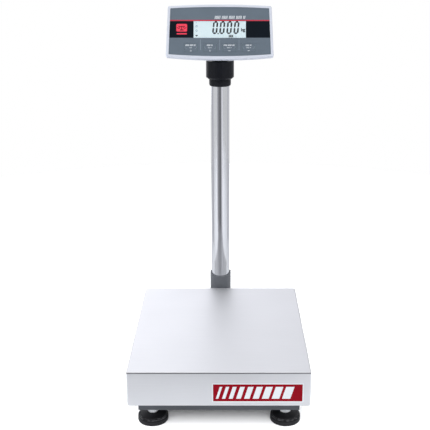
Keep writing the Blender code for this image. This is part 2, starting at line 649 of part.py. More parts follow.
def build_back(case):
    """The rear shell with a slot for the yoke, and what it holds."""
    seam = BEZEL_DEPTH + GAP
    shell = tapered(
        "rear_shell",
        [(shell_outline(0.004, 0.006), seam), (shell_outline(0.009, 0.016), BACK_DEPTH - 0.006),
         (shell_outline(0.015, 0.020), BACK_DEPTH)],
        case,
        "case_plastic",
    )
    wall = BACK_WALL
    room = tapered(
        "case_room",
        [(shell_outline(0.004 + wall, 0.006), seam - 0.002), (shell_outline(0.009 + wall, 0.016), BACK_DEPTH - 0.008),
         (shell_outline(0.015 + wall, 0.020), BACK_DEPTH - wall)],
        case,
    )
    slot_outer = face_block("slot_walls", SLOT_HALF + wall, (-0.05, SLOT_TOP + wall), (SLOT_FRONT - wall, 0.09), case)
    cut(room, slot_outer)
    slot = face_block("yoke_slot", SLOT_HALF, (-0.05, SLOT_TOP), (SLOT_FRONT, 0.09), case)
    pin_way = rod("pin_way", PIN_RADIUS + GAP, -0.03, 0.03, case, turned=(0, math.pi / 2, 0), sides=16)
    half, low, high = BATTERY_DOOR
    door_gap = face_block("door_opening", half + GAP, (low - GAP, high + GAP), (BACK_DEPTH - 0.004, 0.07), case)
    cut(shell, room, slot, pin_way, door_gap)
    door = face_block("battery_door", half, (low, high), (BACK_DEPTH - 0.003, BACK_DEPTH), case, "case_plastic")
    along = (-math.pi / 2, 0, 0)
    screw_at = (0, depth(0), high - 0.006 - PIVOT_UP)
    door_hole = rod("door_hole", 0.0018, 0.05, 0.07, case, at=screw_at, turned=along, sides=12)
    cut(door, door_hole)
    machine_screw("door_screw", screw_at, BACK_DEPTH + GAP, case, 0.0050)
    for i, (x, height) in enumerate(CASE_SCREWS):
        at = (x, depth(0), height - PIVOT_UP)
        cut(shell, rod(f"case_screw_hole_{i}", 0.0018, 0.05, 0.07, case, at=at, turned=along, sides=12))
        machine_screw(f"case_screw_{i + 1}", at, BACK_DEPTH + GAP, case, 0.0200)
    inlet_at = (-0.045, depth(0), 0.034 - PIVOT_UP)
    cut(shell, rod("inlet_hole", 0.0063, 0.05, 0.07, case, at=inlet_at, turned=along, sides=16))
    socket = [
        (0, 0.046), (0.006, 0.046), (0.006, BACK_DEPTH + GAP), (0.0078, BACK_DEPTH + GAP),
        (0.0078, 0.0620), (0.0030, 0.0620), (0.0030, 0.0530), (0, 0.0530),
    ]
    turned_part("power_socket", socket, case, "black_plastic", inlet_at, along, sides=16)
    face_block("main_board", 0.085, (0.010, 0.082), (0.0105, 0.0121), case, "circuit_board")
    face_block("battery_pack", 0.050, (0.054, 0.080), (0.020, 0.046), case, "battery", bevel=0.002)


def machine_screw(name, at, under_head, parent, length):
    """A pan-head screw driven in along the case's depth."""
    profile = [
        (0, under_head - length), (0.0015, under_head - length), (0.0015, under_head),
        (0.0032, under_head), (0.0029, under_head + 0.0012), (0.0016, under_head + 0.0020), (0, under_head + 0.0020),
    ]
    turned_part(name, profile, parent, "zinc", at, (-math.pi / 2, 0, 0), sides=12)


def main():
    for thing in list(bpy.data.objects):
        bpy.data.objects.remove(thing)

    base = group("base", (0, PAN_Y, 0))
    carrier = group("carrier", (0, PAN_Y, 0))
    pan = group("pan", (0, PAN_Y, 0))
    build_frame(base)
    build_load_cell(base, carrier)
    build_carrier(carrier)
    build_stops(base)
    build_level(base)
    build_pan(pan)
    names = ("front_left", "front_right", "rear_left", "rear_right")
    for name, (x, y), turn in zip(names, foot_places(), (30, 0, 30, 15)):
        build_foot(name, group(f"foot_{name}", (x, PAN_Y + y, 0)), turn)

    column = group("column", (0, COLUMN_Y, 0))
    cable_hole = build_bracket(column)
    build_tube(column, cable_hole)
    build_cable()
    ring = group("ring", (0, COLUMN_Y, RING_BOTTOM))
    head = group("head", (0, COLUMN_Y, COLLAR_BOTTOM))
    build_head(ring, head)

    case = group("case", (0, COLUMN_Y, PIVOT_HEIGHT), LEAN)
    build_front(case)
    build_back(case)
    keys = []
    for i in range(4):
        key = group(f"key_{i + 1}_axis", ((i - 1.5) * KEY_PITCH, depth(GAP), KEY_HEIGHT - PIVOT_UP))
        key.parent = case
        keys.append(key)
    build_keys(keys)


main()
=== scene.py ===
import json
import math

import bmesh
import bpy
from mathutils import Matrix, Vector


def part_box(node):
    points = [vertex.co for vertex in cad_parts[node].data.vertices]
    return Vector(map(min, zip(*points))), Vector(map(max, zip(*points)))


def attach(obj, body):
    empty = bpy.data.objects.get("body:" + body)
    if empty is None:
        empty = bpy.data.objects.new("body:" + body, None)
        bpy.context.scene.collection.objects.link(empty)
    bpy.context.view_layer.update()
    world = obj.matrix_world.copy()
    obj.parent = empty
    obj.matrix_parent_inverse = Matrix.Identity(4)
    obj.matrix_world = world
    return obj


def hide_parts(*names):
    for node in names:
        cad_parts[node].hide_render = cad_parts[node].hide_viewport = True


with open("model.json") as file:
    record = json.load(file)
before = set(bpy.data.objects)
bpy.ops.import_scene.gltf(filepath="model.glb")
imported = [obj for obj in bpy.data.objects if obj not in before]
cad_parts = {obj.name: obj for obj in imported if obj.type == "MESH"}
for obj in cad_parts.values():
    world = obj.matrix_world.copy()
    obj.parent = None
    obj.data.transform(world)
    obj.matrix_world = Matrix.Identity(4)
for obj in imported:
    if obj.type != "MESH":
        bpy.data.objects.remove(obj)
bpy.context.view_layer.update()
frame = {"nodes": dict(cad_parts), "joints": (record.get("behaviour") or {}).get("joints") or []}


def addNode(tree, kind, inputs=None, **settings):
    made = tree.nodes.new(kind)
    for name, value in settings.items():
        setattr(made, name, value)
    for name, value in (inputs or {}).items():
        if isinstance(value, bpy.types.NodeSocket):
            tree.links.new(value, made.inputs[name])
        else:
            made.inputs[name].default_value = value
    return made


def startGroup(name, inputs, outputs):
    tree = bpy.data.node_groups.new(name, "ShaderNodeTree")
    for label, value in inputs.items():
        socket = tree.interface.new_socket(label, in_out="INPUT", socket_type="NodeSocketFloat")
        socket.default_value = value
    for label in outputs:
        tree.interface.new_socket(label, in_out="OUTPUT", socket_type="NodeSocketFloat")
    return tree, tree.nodes.new("NodeGroupInput").outputs, tree.nodes.new("NodeGroupOutput").inputs


def objectPlace(tree):
    return addNode(tree, "ShaderNodeTexCoord").outputs["Object"]


def edgeMark(tree):
    return addNode(
        tree, "ShaderNodeAttribute", attribute_type="GEOMETRY", attribute_name="wearAndPaintedLightMark"
    ).outputs["Fac"]


def makeSpeckle():
    # fine moulded or sprayed texture: a height and a slow colour drift
    tree, given, result = startGroup("fineSpeckle", {"Scale": 900.0, "Drift": 14.0}, ("Height", "Drift"))
    place = objectPlace(tree)
    cells = addNode(
        tree, "ShaderNodeTexVoronoi", {"Vector": place, "Scale": given["Scale"]}, feature="SMOOTH_F1"
    )
    cells.inputs["Smoothness"].default_value = 0.6
    grit = addNode(tree, "ShaderNodeTexNoise", {"Vector": place, "Scale": given["Scale"], "Detail": 3.0})
    both = addNode(
        tree, "ShaderNodeMath", {0: cells.outputs["Distance"], 1: grit.outputs["Fac"]}, operation="ADD"
    )
    slow = addNode(tree, "ShaderNodeTexNoise", {"Vector": place, "Scale": given["Drift"], "Detail": 4.0})
    tree.links.new(both.outputs[0], result["Height"])
    tree.links.new(slow.outputs["Fac"], result["Drift"])
    return tree


def makeGrain():
    # lines drawn out along one axis, as brushing or drawing leaves them
    inputs = {"Across X": 60.0, "Across Y": 60.0, "Across Z": 60.0}
    tree, given, result = startGroup("drawnGrain", inputs, ("Line", "Band"))
    place = objectPlace(tree)
    stretch = addNode(
        tree, "ShaderNodeCombineXYZ", {i: given[name] for i, name in enumerate(inputs)}
    ).outputs[0]
    drawn = addNode(tree, "ShaderNodeVectorMath", {0: place, 1: stretch}, operation="MULTIPLY").outputs[0]
    line = addNode(
        tree, "ShaderNodeTexNoise", {"Vector": drawn, "Scale": 30.0, "Detail": 5.0, "Roughness": 0.65}
    )
    band = addNode(tree, "ShaderNodeTexNoise", {"Vector": drawn, "Scale": 2.5, "Detail": 3.0})
    tree.links.new(line.outputs["Fac"], result["Line"])
    tree.links.new(band.outputs["Fac"], result["Band"])
    return tree


def makeWearAndPaintedHighlight():
    # rounded edges, marked as they are made, rubbed through in patches; on the rubber feet the marked faces
    # are bands, and the pale patches there are a painted highlight
    tree, given, result = startGroup("wornEdgesAndPaintedHighlights", {"Breakup": 180.0}, ("Mask",))
    place = objectPlace(tree)
    edge = edgeMark(tree)
    patch = addNode(tree, "ShaderNodeTexNoise", {"Vector": place, "Scale": given["Breakup"], "Detail": 4.0})
    cut = addNode(
        tree, "ShaderNodeMapRange", {"Value": patch.outputs["Fac"], "From Min": 0.40, "From Max": 0.66}
    )
    mask = addNode(tree, "ShaderNodeMath", {0: edge, 1: cut.outputs[0]}, operation="MULTIPLY")
    tree.links.new(mask.outputs[0], result["Mask"])
    return tree


def makeHandling():
    # soft cloudy marks left by wiping and handling
    tree, given, result = startGroup("wipedMarks", {"Size": 9.0}, ("Mark",))
    place = objectPlace(tree)
    cloud = addNode(
        tree, "ShaderNodeTexNoise", {
            "Vector": place, "Scale": given["Size"], "Detail": 5.0, "Distortion": 0.8
        }
    )
    tree.links.new(cloud.outputs["Fac"], result["Mark"])
    return tree


speckle, grain, wearAndPaintedHighlight, handling = makeSpeckle(), makeGrain(), makeWearAndPaintedHighlight(), makeHandling()
print("shared shader groups made")


def addGroup(tree, group, **inputs):
    made = tree.nodes.new("ShaderNodeGroup")
    made.node_tree = group
    for name, value in inputs.items():
        made.inputs[name.replace("_", " ")].default_value = value
    return made.outputs


def startMaterial(name, colour, roughness, metallic=0.0, **constants):
    made = bpy.data.materials.new(name)
    made.use_nodes = True
    tree = made.node_tree
    shader = tree.nodes["Principled BSDF"]
    shader.inputs["Base Color"].default_value = (*colour, 1)
    shader.inputs["Roughness"].default_value = roughness
    shader.inputs["Metallic"].default_value = metallic
    for label, value in constants.items():
        shader.inputs[label.replace("_", " ")].default_value = value
    made.diffuse_color = (*colour, 1)
    return made, tree, shader


def blendColour(tree, mask, low, high):
    made = addNode(tree, "ShaderNodeMix", data_type="RGBA")
    tree.links.new(mask, made.inputs["Factor"])
    for socket, value in (("A", low), ("B", high)):
        target = next(s for s in made.inputs if s.name == socket and s.type == "RGBA")
        if isinstance(value, bpy.types.NodeSocket):
            tree.links.new(value, target)
        else:
            target.default_value = (*value, 1)
    return next(s for s in made.outputs if s.type == "RGBA")


def spread(tree, value, low, high, fromLow=0.3, fromHigh=0.7):
    inputs = {"Value": value, "From Min": fromLow, "From Max": fromHigh, "To Min": low, "To Max": high}
    return addNode(tree, "ShaderNodeMapRange", inputs).outputs[0]


def bump(tree, shader, height, strength, distance):
    made = addNode(tree, "ShaderNodeBump", {"Height": height, "Strength": strength, "Distance": distance})
    tree.links.new(made.outputs["Normal"], shader.inputs["Normal"])


def scaled(colour, factor):
    return tuple(min(1.0, c * factor) for c in colour)


# every textured plastic, paint, rubber and ink; what an entry leaves out is makeCoating's own
coatings = {
    "caseMoulding": dict(
        colour=(0.655, 0.690, 0.775), roughness=0.42, scale=1100, height=0.000006, vary=0.03, shine=0.35
    ),
    "blackMoulding": dict(
        colour=(0.0075, 0.0085, 0.0125), roughness=0.42, scale=1200, height=0.00002, vary=0.20, shine=0.15
    ),
    "filmGrey": dict(
        colour=(0.137, 0.172, 0.210), roughness=0.46, scale=2600, height=0.00001, vary=0.04, shine=0.12
    ),
    "framePaint": dict(
        colour=(0.085, 0.093, 0.105), roughness=0.48, scale=700, height=0.00005, vary=0.10, shine=0.25
    ),
    "bracketPaint": dict(
        colour=(0.165, 0.176, 0.196), roughness=0.40, scale=700, height=0.00005, vary=0.08, shine=0.3
    ),
    "footRubber": dict(
        colour=(0.017, 0.017, 0.020), roughness=0.52, scale=900, height=0.00002, vary=0.20, shine=0.32
    ),
    "padRubber": dict(colour=(0.020, 0.020, 0.021), roughness=0.80, scale=700, height=0.00006, vary=0.25),
    "cableJacket": dict(colour=(0.030, 0.030, 0.032), roughness=0.55, scale=1800, height=0.00002, vary=0.20),
    "boardMask": dict(colour=(0.010, 0.130, 0.050), roughness=0.30, scale=500, height=0.00003, vary=0.30),
    "cellWrap": dict(colour=(0.040, 0.080, 0.220), roughness=0.25, scale=300, height=0.00003, vary=0.15),
    "inkBlack": dict(colour=(0.0045, 0.0080, 0.0135), roughness=0.36, vary=0.10, shine=0.1),
    "inkRed": dict(colour=(0.62, 0.030, 0.060), roughness=0.40, vary=0.05, shine=0.1),
    "inkBadge": dict(colour=(0.90, 0.065, 0.110), roughness=0.40, vary=0.05, shine=0.1),
    "inkWhite": dict(colour=(0.80, 0.84, 0.88), roughness=0.40, vary=0.03, shine=0.2),
    "inkPale": dict(colour=(0.30, 0.35, 0.40), roughness=0.45, vary=0.05, shine=0.2),
    "labelRed": dict(colour=(0.285, 0.0015, 0.010), roughness=0.32, scale=1800, vary=0.06, shine=0.06),
    "labelWhite": dict(colour=(0.80, 0.83, 0.86), roughness=0.35, scale=1800, vary=0.03, shine=0.3),
    "displayInk": dict(colour=(0.008, 0.016, 0.024), roughness=0.50, vary=0.10, shine=0.05),
    "displayFaint": dict(colour=(0.18, 0.26, 0.30), roughness=0.50, vary=0.10, shine=0.1),
}
# what the marked faces of each finish turn towards: worn paint on the rounded edges of the frame, bracket,
# strap and yoke, a painted dark line along the pan's fold and rim, painted highlight bands on the rubber feet
wearAndPaintedLightTones = {
    "panSteel": (0.300, 0.304, 0.312),
    "framePaint": (0.120, 0.128, 0.140),
    "bracketPaint": (0.28, 0.29, 0.31),
    "blackMoulding": (0.035, 0.036, 0.040),
    "footRubber": (0.170, 0.172, 0.182),
}


def makeCoating(name, colour, roughness, vary, scale=2600, height=0.00001, shine=0.5):
    made, tree, shader = startMaterial(name, colour, roughness, Specular_IOR_Level=shine)
    grit = addGroup(tree, speckle, Scale=scale, Drift=18.0)
    wiped = addGroup(tree, handling, Size=11.0)
    tone = blendColour(
        tree, spread(tree, grit["Drift"], 0, 1), scaled(colour, 1 - vary), scaled(colour, 1 + vary)
    )
    # marked faces turn to their listed tone in patches: worn edges on the paints and the yoke, painted
    # highlight bands on the rubber feet
    if name in wearAndPaintedLightTones:
        edge = addGroup(tree, wearAndPaintedHighlight, Breakup=160.0)
        tone = blendColour(tree, edge["Mask"], tone, wearAndPaintedLightTones[name])
    tree.links.new(tone, shader.inputs["Base Color"])
    gloss = spread(tree, wiped["Mark"], roughness - 0.05, roughness + 0.07)
    tree.links.new(gloss, shader.inputs["Roughness"])
    bump(tree, shader, grit["Height"], 0.6, height)
    return made


# lines run along the axis whose number is smallest
metals = {
    "panSteel": dict(
        colour=(0.715, 0.724, 0.742), roughness=0.50, run=(0.35, 90, 90), spreadBy=0.06, height=0.000010
    ),
    "columnSteel": dict(
        colour=(0.675, 0.686, 0.712), roughness=0.13, run=(70, 70, 0.5), spreadBy=0.03, height=0.0000012
    ),
    # a paler, less metallic copy of the zinc finish: painted light, so the foot nuts that sit in the frame's
    # shade look lit
    "zincWithPaintedLight": dict(
        colour=(0.930, 0.955, 0.985), roughness=0.34, run=(40, 40, 20), spreadBy=0.05, height=0.000006,
        metal=0.25,
    ),
    "zincPlate": dict(
        colour=(0.880, 0.900, 0.920), roughness=0.24, run=(40, 40, 20), spreadBy=0.08, height=0.000010
    ),
    "castAluminium": dict(
        colour=(0.560, 0.570, 0.580), roughness=0.42, run=(9, 9, 9), spreadBy=0.10, height=0.00006
    ),
    "milledAluminium": dict(
        colour=(0.680, 0.690, 0.700), roughness=0.30, run=(60, 0.8, 60), spreadBy=0.08, height=0.00001
    ),
}


def makeMetal(name, colour, roughness, run, spreadBy, height, metal=1.0):
    made, tree, shader = startMaterial(name, colour, roughness, metal)
    lines = addGroup(tree, grain, Across_X=run[0], Across_Y=run[1], Across_Z=run[2])
    wiped = addGroup(tree, handling, Size=6.0)
    tone = blendColour(tree, spread(tree, lines["Line"], 0, 1), scaled(colour, 0.955), scaled(colour, 1.035))
    tone = blendColour(tree, spread(tree, wiped["Mark"], 0.0, 0.35), tone, scaled(colour, 0.975))
    # among the metals only the pan is listed: its marked fold and rim facets turn dark with no breakup, a
    # painted shade for a dark reflection
    if name in wearAndPaintedLightTones:
        tone = blendColour(tree, edgeMark(tree), tone, wearAndPaintedLightTones[name])
    tree.links.new(tone, shader.inputs["Base Color"])
    # two masks added run up to about 1.4
    both = addNode(tree, "ShaderNodeMath", {0: lines["Line"], 1: wiped["Mark"]}, operation="ADD").outputs[0]
    gloss = spread(tree, both, roughness - spreadBy / 2, roughness + spreadBy, 0.6, 1.4)
    tree.links.new(gloss, shader.inputs["Roughness"])
    bump(tree, shader, lines["Line"], 0.5, height)
    return made


def makeClear(name, colour, roughness, ior):
    made, tree, shader = startMaterial(name, colour, roughness, Transmission_Weight=1.0, IOR=ior)
    wiped = addGroup(tree, handling, Size=40.0)
    tree.links.new(spread(tree, wiped["Mark"], roughness, roughness + 0.03), shader.inputs["Roughness"])
    return made


def makeDisplayFinish():
    # the pale backlit panel, its glow drifting a little in tone
    made, tree, shader = startMaterial("displayPale", (0.45, 0.52, 0.54), 0.35, Emission_Strength=0.62)
    cells = addGroup(tree, speckle, Scale=3000.0, Drift=30.0)
    glow = blendColour(tree, spread(tree, cells["Drift"], 0, 1), (0.745, 0.895, 0.955), (0.80, 0.93, 0.98))
    tree.links.new(glow, shader.inputs["Emission Color"])
    bump(tree, shader, cells["Height"], 0.3, 0.00001)
    return made


finish = {name: makeCoating(name, **values) for name, values in coatings.items()}
finish |= {name: makeMetal(name, **values) for name, values in metals.items()}
finish["displayClear"] = makeClear("displayClear", (0.97, 0.985, 0.99), 0.02, 1.49)
finish["vialClear"] = makeClear("vialClear", (0.75, 0.92, 0.35), 0.02, 1.45)
finish["displayPale"] = makeDisplayFinish()
print("materials made:", len(finish))


def linked(name, data):
    thing = bpy.data.objects.new(name, data)
    bpy.context.scene.collection.objects.link(thing)
    return thing


def meshOf(name, bm):
    mesh = bpy.data.meshes.new(name)
    bm.to_mesh(mesh)
    bm.free()
    return mesh


def newPiece(name, bm, material, body, replaced=(), sharp=32):
    bmesh.ops.remove_doubles(bm, verts=bm.verts, dist=1e-7)
    bmesh.ops.recalc_face_normals(bm, faces=bm.faces)
    thing = linked(name, meshOf(name, bm))
    thing.data.materials.append(finish[material])
    thing.data.shade_smooth()
    thing.data.set_sharp_from_angle(angle=math.radians(sharp))
    normals = thing.modifiers.new("faceNormals", "WEIGHTED_NORMAL")
    normals.keep_sharp = True
    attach(thing, body)
    if replaced:
        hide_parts(*replaced)


def markLayer(bm):
    # the faces that the shaders tone differently: worn rounded edges, a painted dark line on the pan and
    # painted highlights on the feet
    return bm.faces.layers.float.get("wearAndPaintedLightMark") or bm.faces.layers.float.new("wearAndPaintedLightMark")


def roundEdges(bm, edges, width, segments):
    mark = markLayer(bm)
    made = bmesh.ops.bevel(
        bm, geom=edges, offset=width, affect="EDGES", segments=segments, profile=0.5, material=-1,
        clamp_overlap=True,
    )
    for rounded in made["faces"]:
        rounded[mark] = 1.0


def sharpEdges(bm, angle):
    limit = math.radians(angle)
    return [e for e in bm.edges if len(e.link_faces) == 2 and e.calc_face_angle(0) > limit]


def boxShape(low, high, width=0.0, segments=3):
    low, high = Vector(low), Vector(high)
    bm = bmesh.new()
    bmesh.ops.create_cube(bm, size=1)
    bmesh.ops.scale(bm, vec=high - low, verts=bm.verts)
    bmesh.ops.translate(bm, vec=(high + low) / 2, verts=bm.verts)
    if width:
        roundEdges(bm, bm.edges, width, segments)
    return bm


def pushedBack(bm, depth):
    # flat faces given a depth along Y
    pushed = bmesh.ops.extrude_face_region(bm, geom=bm.faces[:])["geom"]
    corners = [v for v in pushed if isinstance(v, bmesh.types.BMVert)]
    bmesh.ops.translate(bm, vec=(0, depth, 0), verts=corners)
    bmesh.ops.recalc_face_normals(bm, faces=bm.faces)
    return bm


def flatShape(outline, y):
    # an outline of (x, z) points filled
    bm = bmesh.new()
    bm.faces.new([bm.verts.new((x, y, z)) for x, z in outline])
    return bm


def sheetShape(outline, low, high):
    return pushedBack(flatShape(outline, low), high - low)


def spunShape(profile, steps=96):
    # a profile of (radius, height) turned about Z; off the axis it closes on itself
    bm = bmesh.new()
    points = [bm.verts.new((radius, 0, height)) for radius, height in profile]
    pairs = list(zip(points, points[1:]))
    if profile[0][0] > 0:
        pairs.append((points[-1], points[0]))
    lines = [bm.edges.new(pair) for pair in pairs]
    bmesh.ops.spin(
        bm, geom=points + lines, cent=(0, 0, 0), axis=(0, 0, 1), angle=2 * math.pi, steps=steps,
        use_merge=True,
    )
    bmesh.ops.remove_doubles(bm, verts=bm.verts, dist=1e-6)
    bmesh.ops.recalc_face_normals(bm, faces=bm.faces)
    return bm


def turned(bm, matrix):
    bmesh.ops.transform(bm, matrix=matrix, verts=bm.verts)
    return bm


def moved(bm, x, y, z):
    return turned(bm, Matrix.Translation((x, y, z)))


def joined(shapes):
    # several closed shapes in one piece
    whole = bmesh.new()
    for bm in shapes:
        mesh = meshOf("part", bm)
        whole.from_mesh(mesh)
        bpy.data.meshes.remove(mesh)
    return whole


def carved(bm, cutters, operation="DIFFERENCE"):
    # the shape less its cutters, or united or crossed with them
    thing, *tools = [linked("carving", meshOf("carving", shape)) for shape in [bm, *cutters]]
    for tool in tools:
        modifier = thing.modifiers.new("carve", "BOOLEAN")
        modifier.operation = operation
        modifier.object = tool
    bpy.context.view_layer.update()
    graph = bpy.context.evaluated_depsgraph_get()
    mesh = bpy.data.meshes.new_from_object(thing.evaluated_get(graph))
    result = bmesh.new()
    result.from_mesh(mesh)
    for used in [thing, *tools]:
        bpy.data.objects.remove(used)
    bmesh.ops.remove_doubles(result, verts=result.verts, dist=1e-6)
    return result


def cadShape(node):
    # a merged copy of a frame node's solid
    bm = bmesh.new()
    bm.from_mesh(frame["nodes"][node].data)
    bmesh.ops.remove_doubles(bm, verts=bm.verts, dist=2e-6)
    bmesh.ops.dissolve_limit(bm, angle_limit=math.radians(0.5), verts=bm.verts, edges=bm.edges)
    return bm


def eased(node, material, body, width, segments=2, angle=40):
    # the frame node's own shape with its edges broken
    bm = cadShape(node)
    roundEdges(bm, sharpEdges(bm, angle), width, segments)
    newPiece(node + "_eased", bm, material, body, [node])


def nodeCentre(node):
    low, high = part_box(node)
    return (low + high) / 2


def onNode(bm, node):
    # a shape put on the vertical middle line of a frame node
    middle = nodeCentre(node)
    return moved(bm, middle.x, middle.y, 0)


pivot = Vector(next(joint for joint in frame["joints"] if joint["name"] == "indicator_tilt")["pos_m"])
panLow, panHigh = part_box("platform_cover")
tubeLow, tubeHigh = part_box("column_tube")
columnAt = Vector(((tubeLow.x + tubeHigh.x) / 2, (tubeLow.y + tubeHigh.y) / 2, 0))


# shade is the span of upward slope over which the fold is painted dark, a painted shade for the dark
# reflection along the fold
pan = dict(sheet=0.0015, fold=0.0025, corner=0.0027, rim=0.0004, shade=(0.05, 0.70))
skirtLabel = dict(
    width=0.148, height=0.0315, drop=0.0217, fromSide=0.014, border=0.0019, thick=0.00018, layer=0.00004
)
labelBars = dict(
    count=9, start=0.0045, foot=0.0048, tall=0.0222, slant=0.30, width=0.0042, wider=0.0012, space=0.0060,
    closer=0.0002,
)


def makePan():
    bm = boxShape(panLow, panHigh)
    uprights = [e for e in bm.edges if abs(e.verts[0].co.z - e.verts[1].co.z) > 0.001]
    roundEdges(bm, uprights, pan["corner"], 5)
    folds = [e for e in sharpEdges(bm, 60) if min(v.co.z for v in e.verts) > panLow.z + 0.001]
    roundEdges(bm, folds, pan["fold"], 8)
    bm.normal_update()
    # the fold's steeper facets keep their mark and are painted dark, a painted shade standing in for a dark
    # reflection; the other rounded faces lose it
    mark = markLayer(bm)
    for facet in bm.faces:
        facet[mark] *= pan["shade"][0] < facet.normal.z < pan["shade"][1]
    floorFaces = [f for f in bm.faces if f.normal.z < -0.9]
    bmesh.ops.delete(bm, geom=floorFaces, context="FACES")
    # the open shell faces outwards, so that its thickness goes inwards
    bmesh.ops.recalc_face_normals(bm, faces=bm.faces)
    if next(f for f in bm.faces if abs(f.normal.z) > 0.99).normal.z < 0:
        bmesh.ops.reverse_faces(bm, faces=bm.faces)
    bmesh.ops.solidify(bm, geom=bm.faces[:], thickness=pan["sheet"])
    # the rounded bottom rim is marked too, so it gets the same painted dark line
    rims = [e for e in sharpEdges(bm, 60) if max(v.co.z for v in e.verts) < panLow.z + 1e-5]
    roundEdges(bm, rims, pan["rim"], 3)
    newPiece("steelPan", bm, "panSteel", "platform_cover", ["platform_cover"])


def slantedBar(x, z, width, height, slant):
    lean = height * slant
    return [(x, z), (x + width, z), (x + width + lean, z + height), (x + lean, z + height)]


def marks(outlines, low, high):
    return joined(sheetShape(outline, low, high) for outline in outlines)


def makeLabel():
    right = panHigh.x - skirtLabel["fromSide"]
    left = right - skirtLabel["width"]
    top = panHigh.z - skirtLabel["drop"]
    bottom = top - skirtLabel["height"]
    edge, layer = skirtLabel["border"], skirtLabel["layer"]
    front = panLow.y - skirtLabel["thick"]
    backing = boxShape((left - edge, front, bottom - edge), (right + edge, panLow.y - 0.00002, top + edge))
    corners = [e for e in backing.edges if abs((e.verts[0].co - e.verts[1].co).y) > 1e-6]
    roundEdges(backing, corners, 0.0012, 4)
    field = boxShape((left, front - layer, bottom), (right, front, top))
    outlines, x = [], left + labelBars["start"]
    for step in range(labelBars["count"]):
        width = labelBars["width"] + labelBars["wider"] * step
        outlines.append(
            slantedBar(x, bottom + labelBars["foot"], width, labelBars["tall"], labelBars["slant"])
        )
        x += width + labelBars["space"] - labelBars["closer"] * step
    bars = marks(outlines, front - 2 * layer, front - layer)
    for name, shape, material in (
        ("Backing", backing, "labelWhite"), ("Field", field, "labelRed"), ("Bars", bars, "labelWhite")
    ):
        newPiece("skirtLabel" + name, shape, material, "platform_cover", sharp=20)


makePan()
makeLabel()
print("pan made")


# the foot's rim band between two heights is painted paler as a highlight; below the sole height it is paler
# too
foot = dict(radius=0.0259, paintedHighlightRim=(0.0095, 0.0114), sole=0.0012)
stud = dict(radius=0.0050, pitch=0.0015, depth=0.00055, hexRadius=0.0098, hexLow=0.0168, hexHigh=0.0250)
hexTurn = {"front_left": 30, "front_right": 0, "rear_left": 30, "rear_right": 15}


def threaded(radius, low, high, pitch, depth):
    # a bar whose rings stand for its thread
    points = [(0, low), (radius - depth, low)]
    turns = int((high - low) / pitch) - 1
    for i in range(turns):
        z = low + pitch * (i + 0.5)
        points += [(radius - depth, z), (radius, z + 0.4 * pitch), (radius, z + 0.6 * pitch)]
    points += [(radius - depth, high - 0.0002), (radius - depth - 0.0004, high), (0, high)]
    return spunShape(points, 40)


def hexagon(radius, low, high, turn=0.0, chamfer=0.0009):
    bm = bmesh.new()
    bmesh.ops.create_cone(bm, cap_ends=True, segments=6, radius1=radius, radius2=radius, depth=high - low)
    bmesh.ops.translate(bm, vec=(0, 0, (low + high) / 2), verts=bm.verts)
    bmesh.ops.rotate(bm, cent=(0, 0, 0), matrix=Matrix.Rotation(math.radians(turn), 3, "Z"), verts=bm.verts)
    flat, over, wide = radius * math.cos(math.pi / 6) + 0.0001, 0.0001, radius + 0.0002
    cone = [
        (0, low - over), (flat, low - over), (wide, low + chamfer), (wide, high - chamfer),
        (flat, high + over), (0, high + over),
    ]
    return carved(bm, [spunShape(cone, 72)], "INTERSECT")


def makeFoot(where):
    node, r = "foot_pad_" + where, foot["radius"]
    pad = [
        (0, 0.0004), (0.0180, 0.0004), (0.0184, 0), (0.0246, 0), (r - 0.0003, 0.0006), (r, 0.0016),
        (r, 0.0078), (r - 0.0005, 0.0083), (r - 0.0018, 0.0085), (r - 0.0018, 0.0094), (r - 0.0006, 0.0097),
        (r - 0.0003, 0.0101), (r - 0.0004, 0.0106), (r - 0.0014, 0.0114), (r - 0.0020, 0.0115),
        (0.0231, 0.0111), (0.0225, 0.0111), (0.0222, 0.0116), (0.0219, 0.0128), (0.0211, 0.0134),
        (0.0106, 0.0160), (0.0100, 0.0165), (0.0058, 0.0165), (0.0056, 0.0162),
        (0.0056, 0.0080), (0, 0.0080),
    ]
    shape = spunShape(pad)
    # the rim band and the sole band are marked, so the rubber turns paler there in patches: a painted
    # highlight on the rim, and paler along the sole
    mark = markLayer(shape)
    for facet in shape.faces:
        height = facet.calc_center_median().z
        facet[mark] = float(foot["paintedHighlightRim"][0] < height < foot["paintedHighlightRim"][1] or height < foot["sole"])
    newPiece("rubberFoot_" + where, onNode(shape, node), "footRubber", "foot_" + where, [node])
    low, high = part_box("foot_stud_" + where)
    rod = threaded(stud["radius"], low.z, high.z, stud["pitch"], stud["depth"])
    head = hexagon(stud["hexRadius"], stud["hexLow"], stud["hexHigh"], hexTurn[where])
    shape = onNode(carved(head, [rod], "UNION"), node)
    # the nut and stud take the zinc copy with painted light
    newPiece("footStud_" + where, shape, "zincWithPaintedLight", "stud_" + where, ["foot_stud_" + where], 25)


for where in hexTurn:
    makeFoot(where)
print("feet made")


screw = dict(radius=0.0040, pitch=0.00125, depth=0.0005, nutRadius=0.0075)
padRadius, cupRadius, cupBore, cupFloor, vialRadius = 0.0090, 0.0095, 0.0070, 0.0675, 0.0067


def roundAt(node, profile, name, material, body):
    newPiece(name, onNode(spunShape(profile, 64), node), material, body, [node])


def screwWithNut(node, name, low, high, nutLow, nutHigh):
    rod = threaded(screw["radius"], low, high, screw["pitch"], screw["depth"])
    shape = onNode(carved(hexagon(screw["nutRadius"], nutLow, nutHigh), [rod], "UNION"), node)
    newPiece(name, shape, "zincPlate", "base", [node], 25)


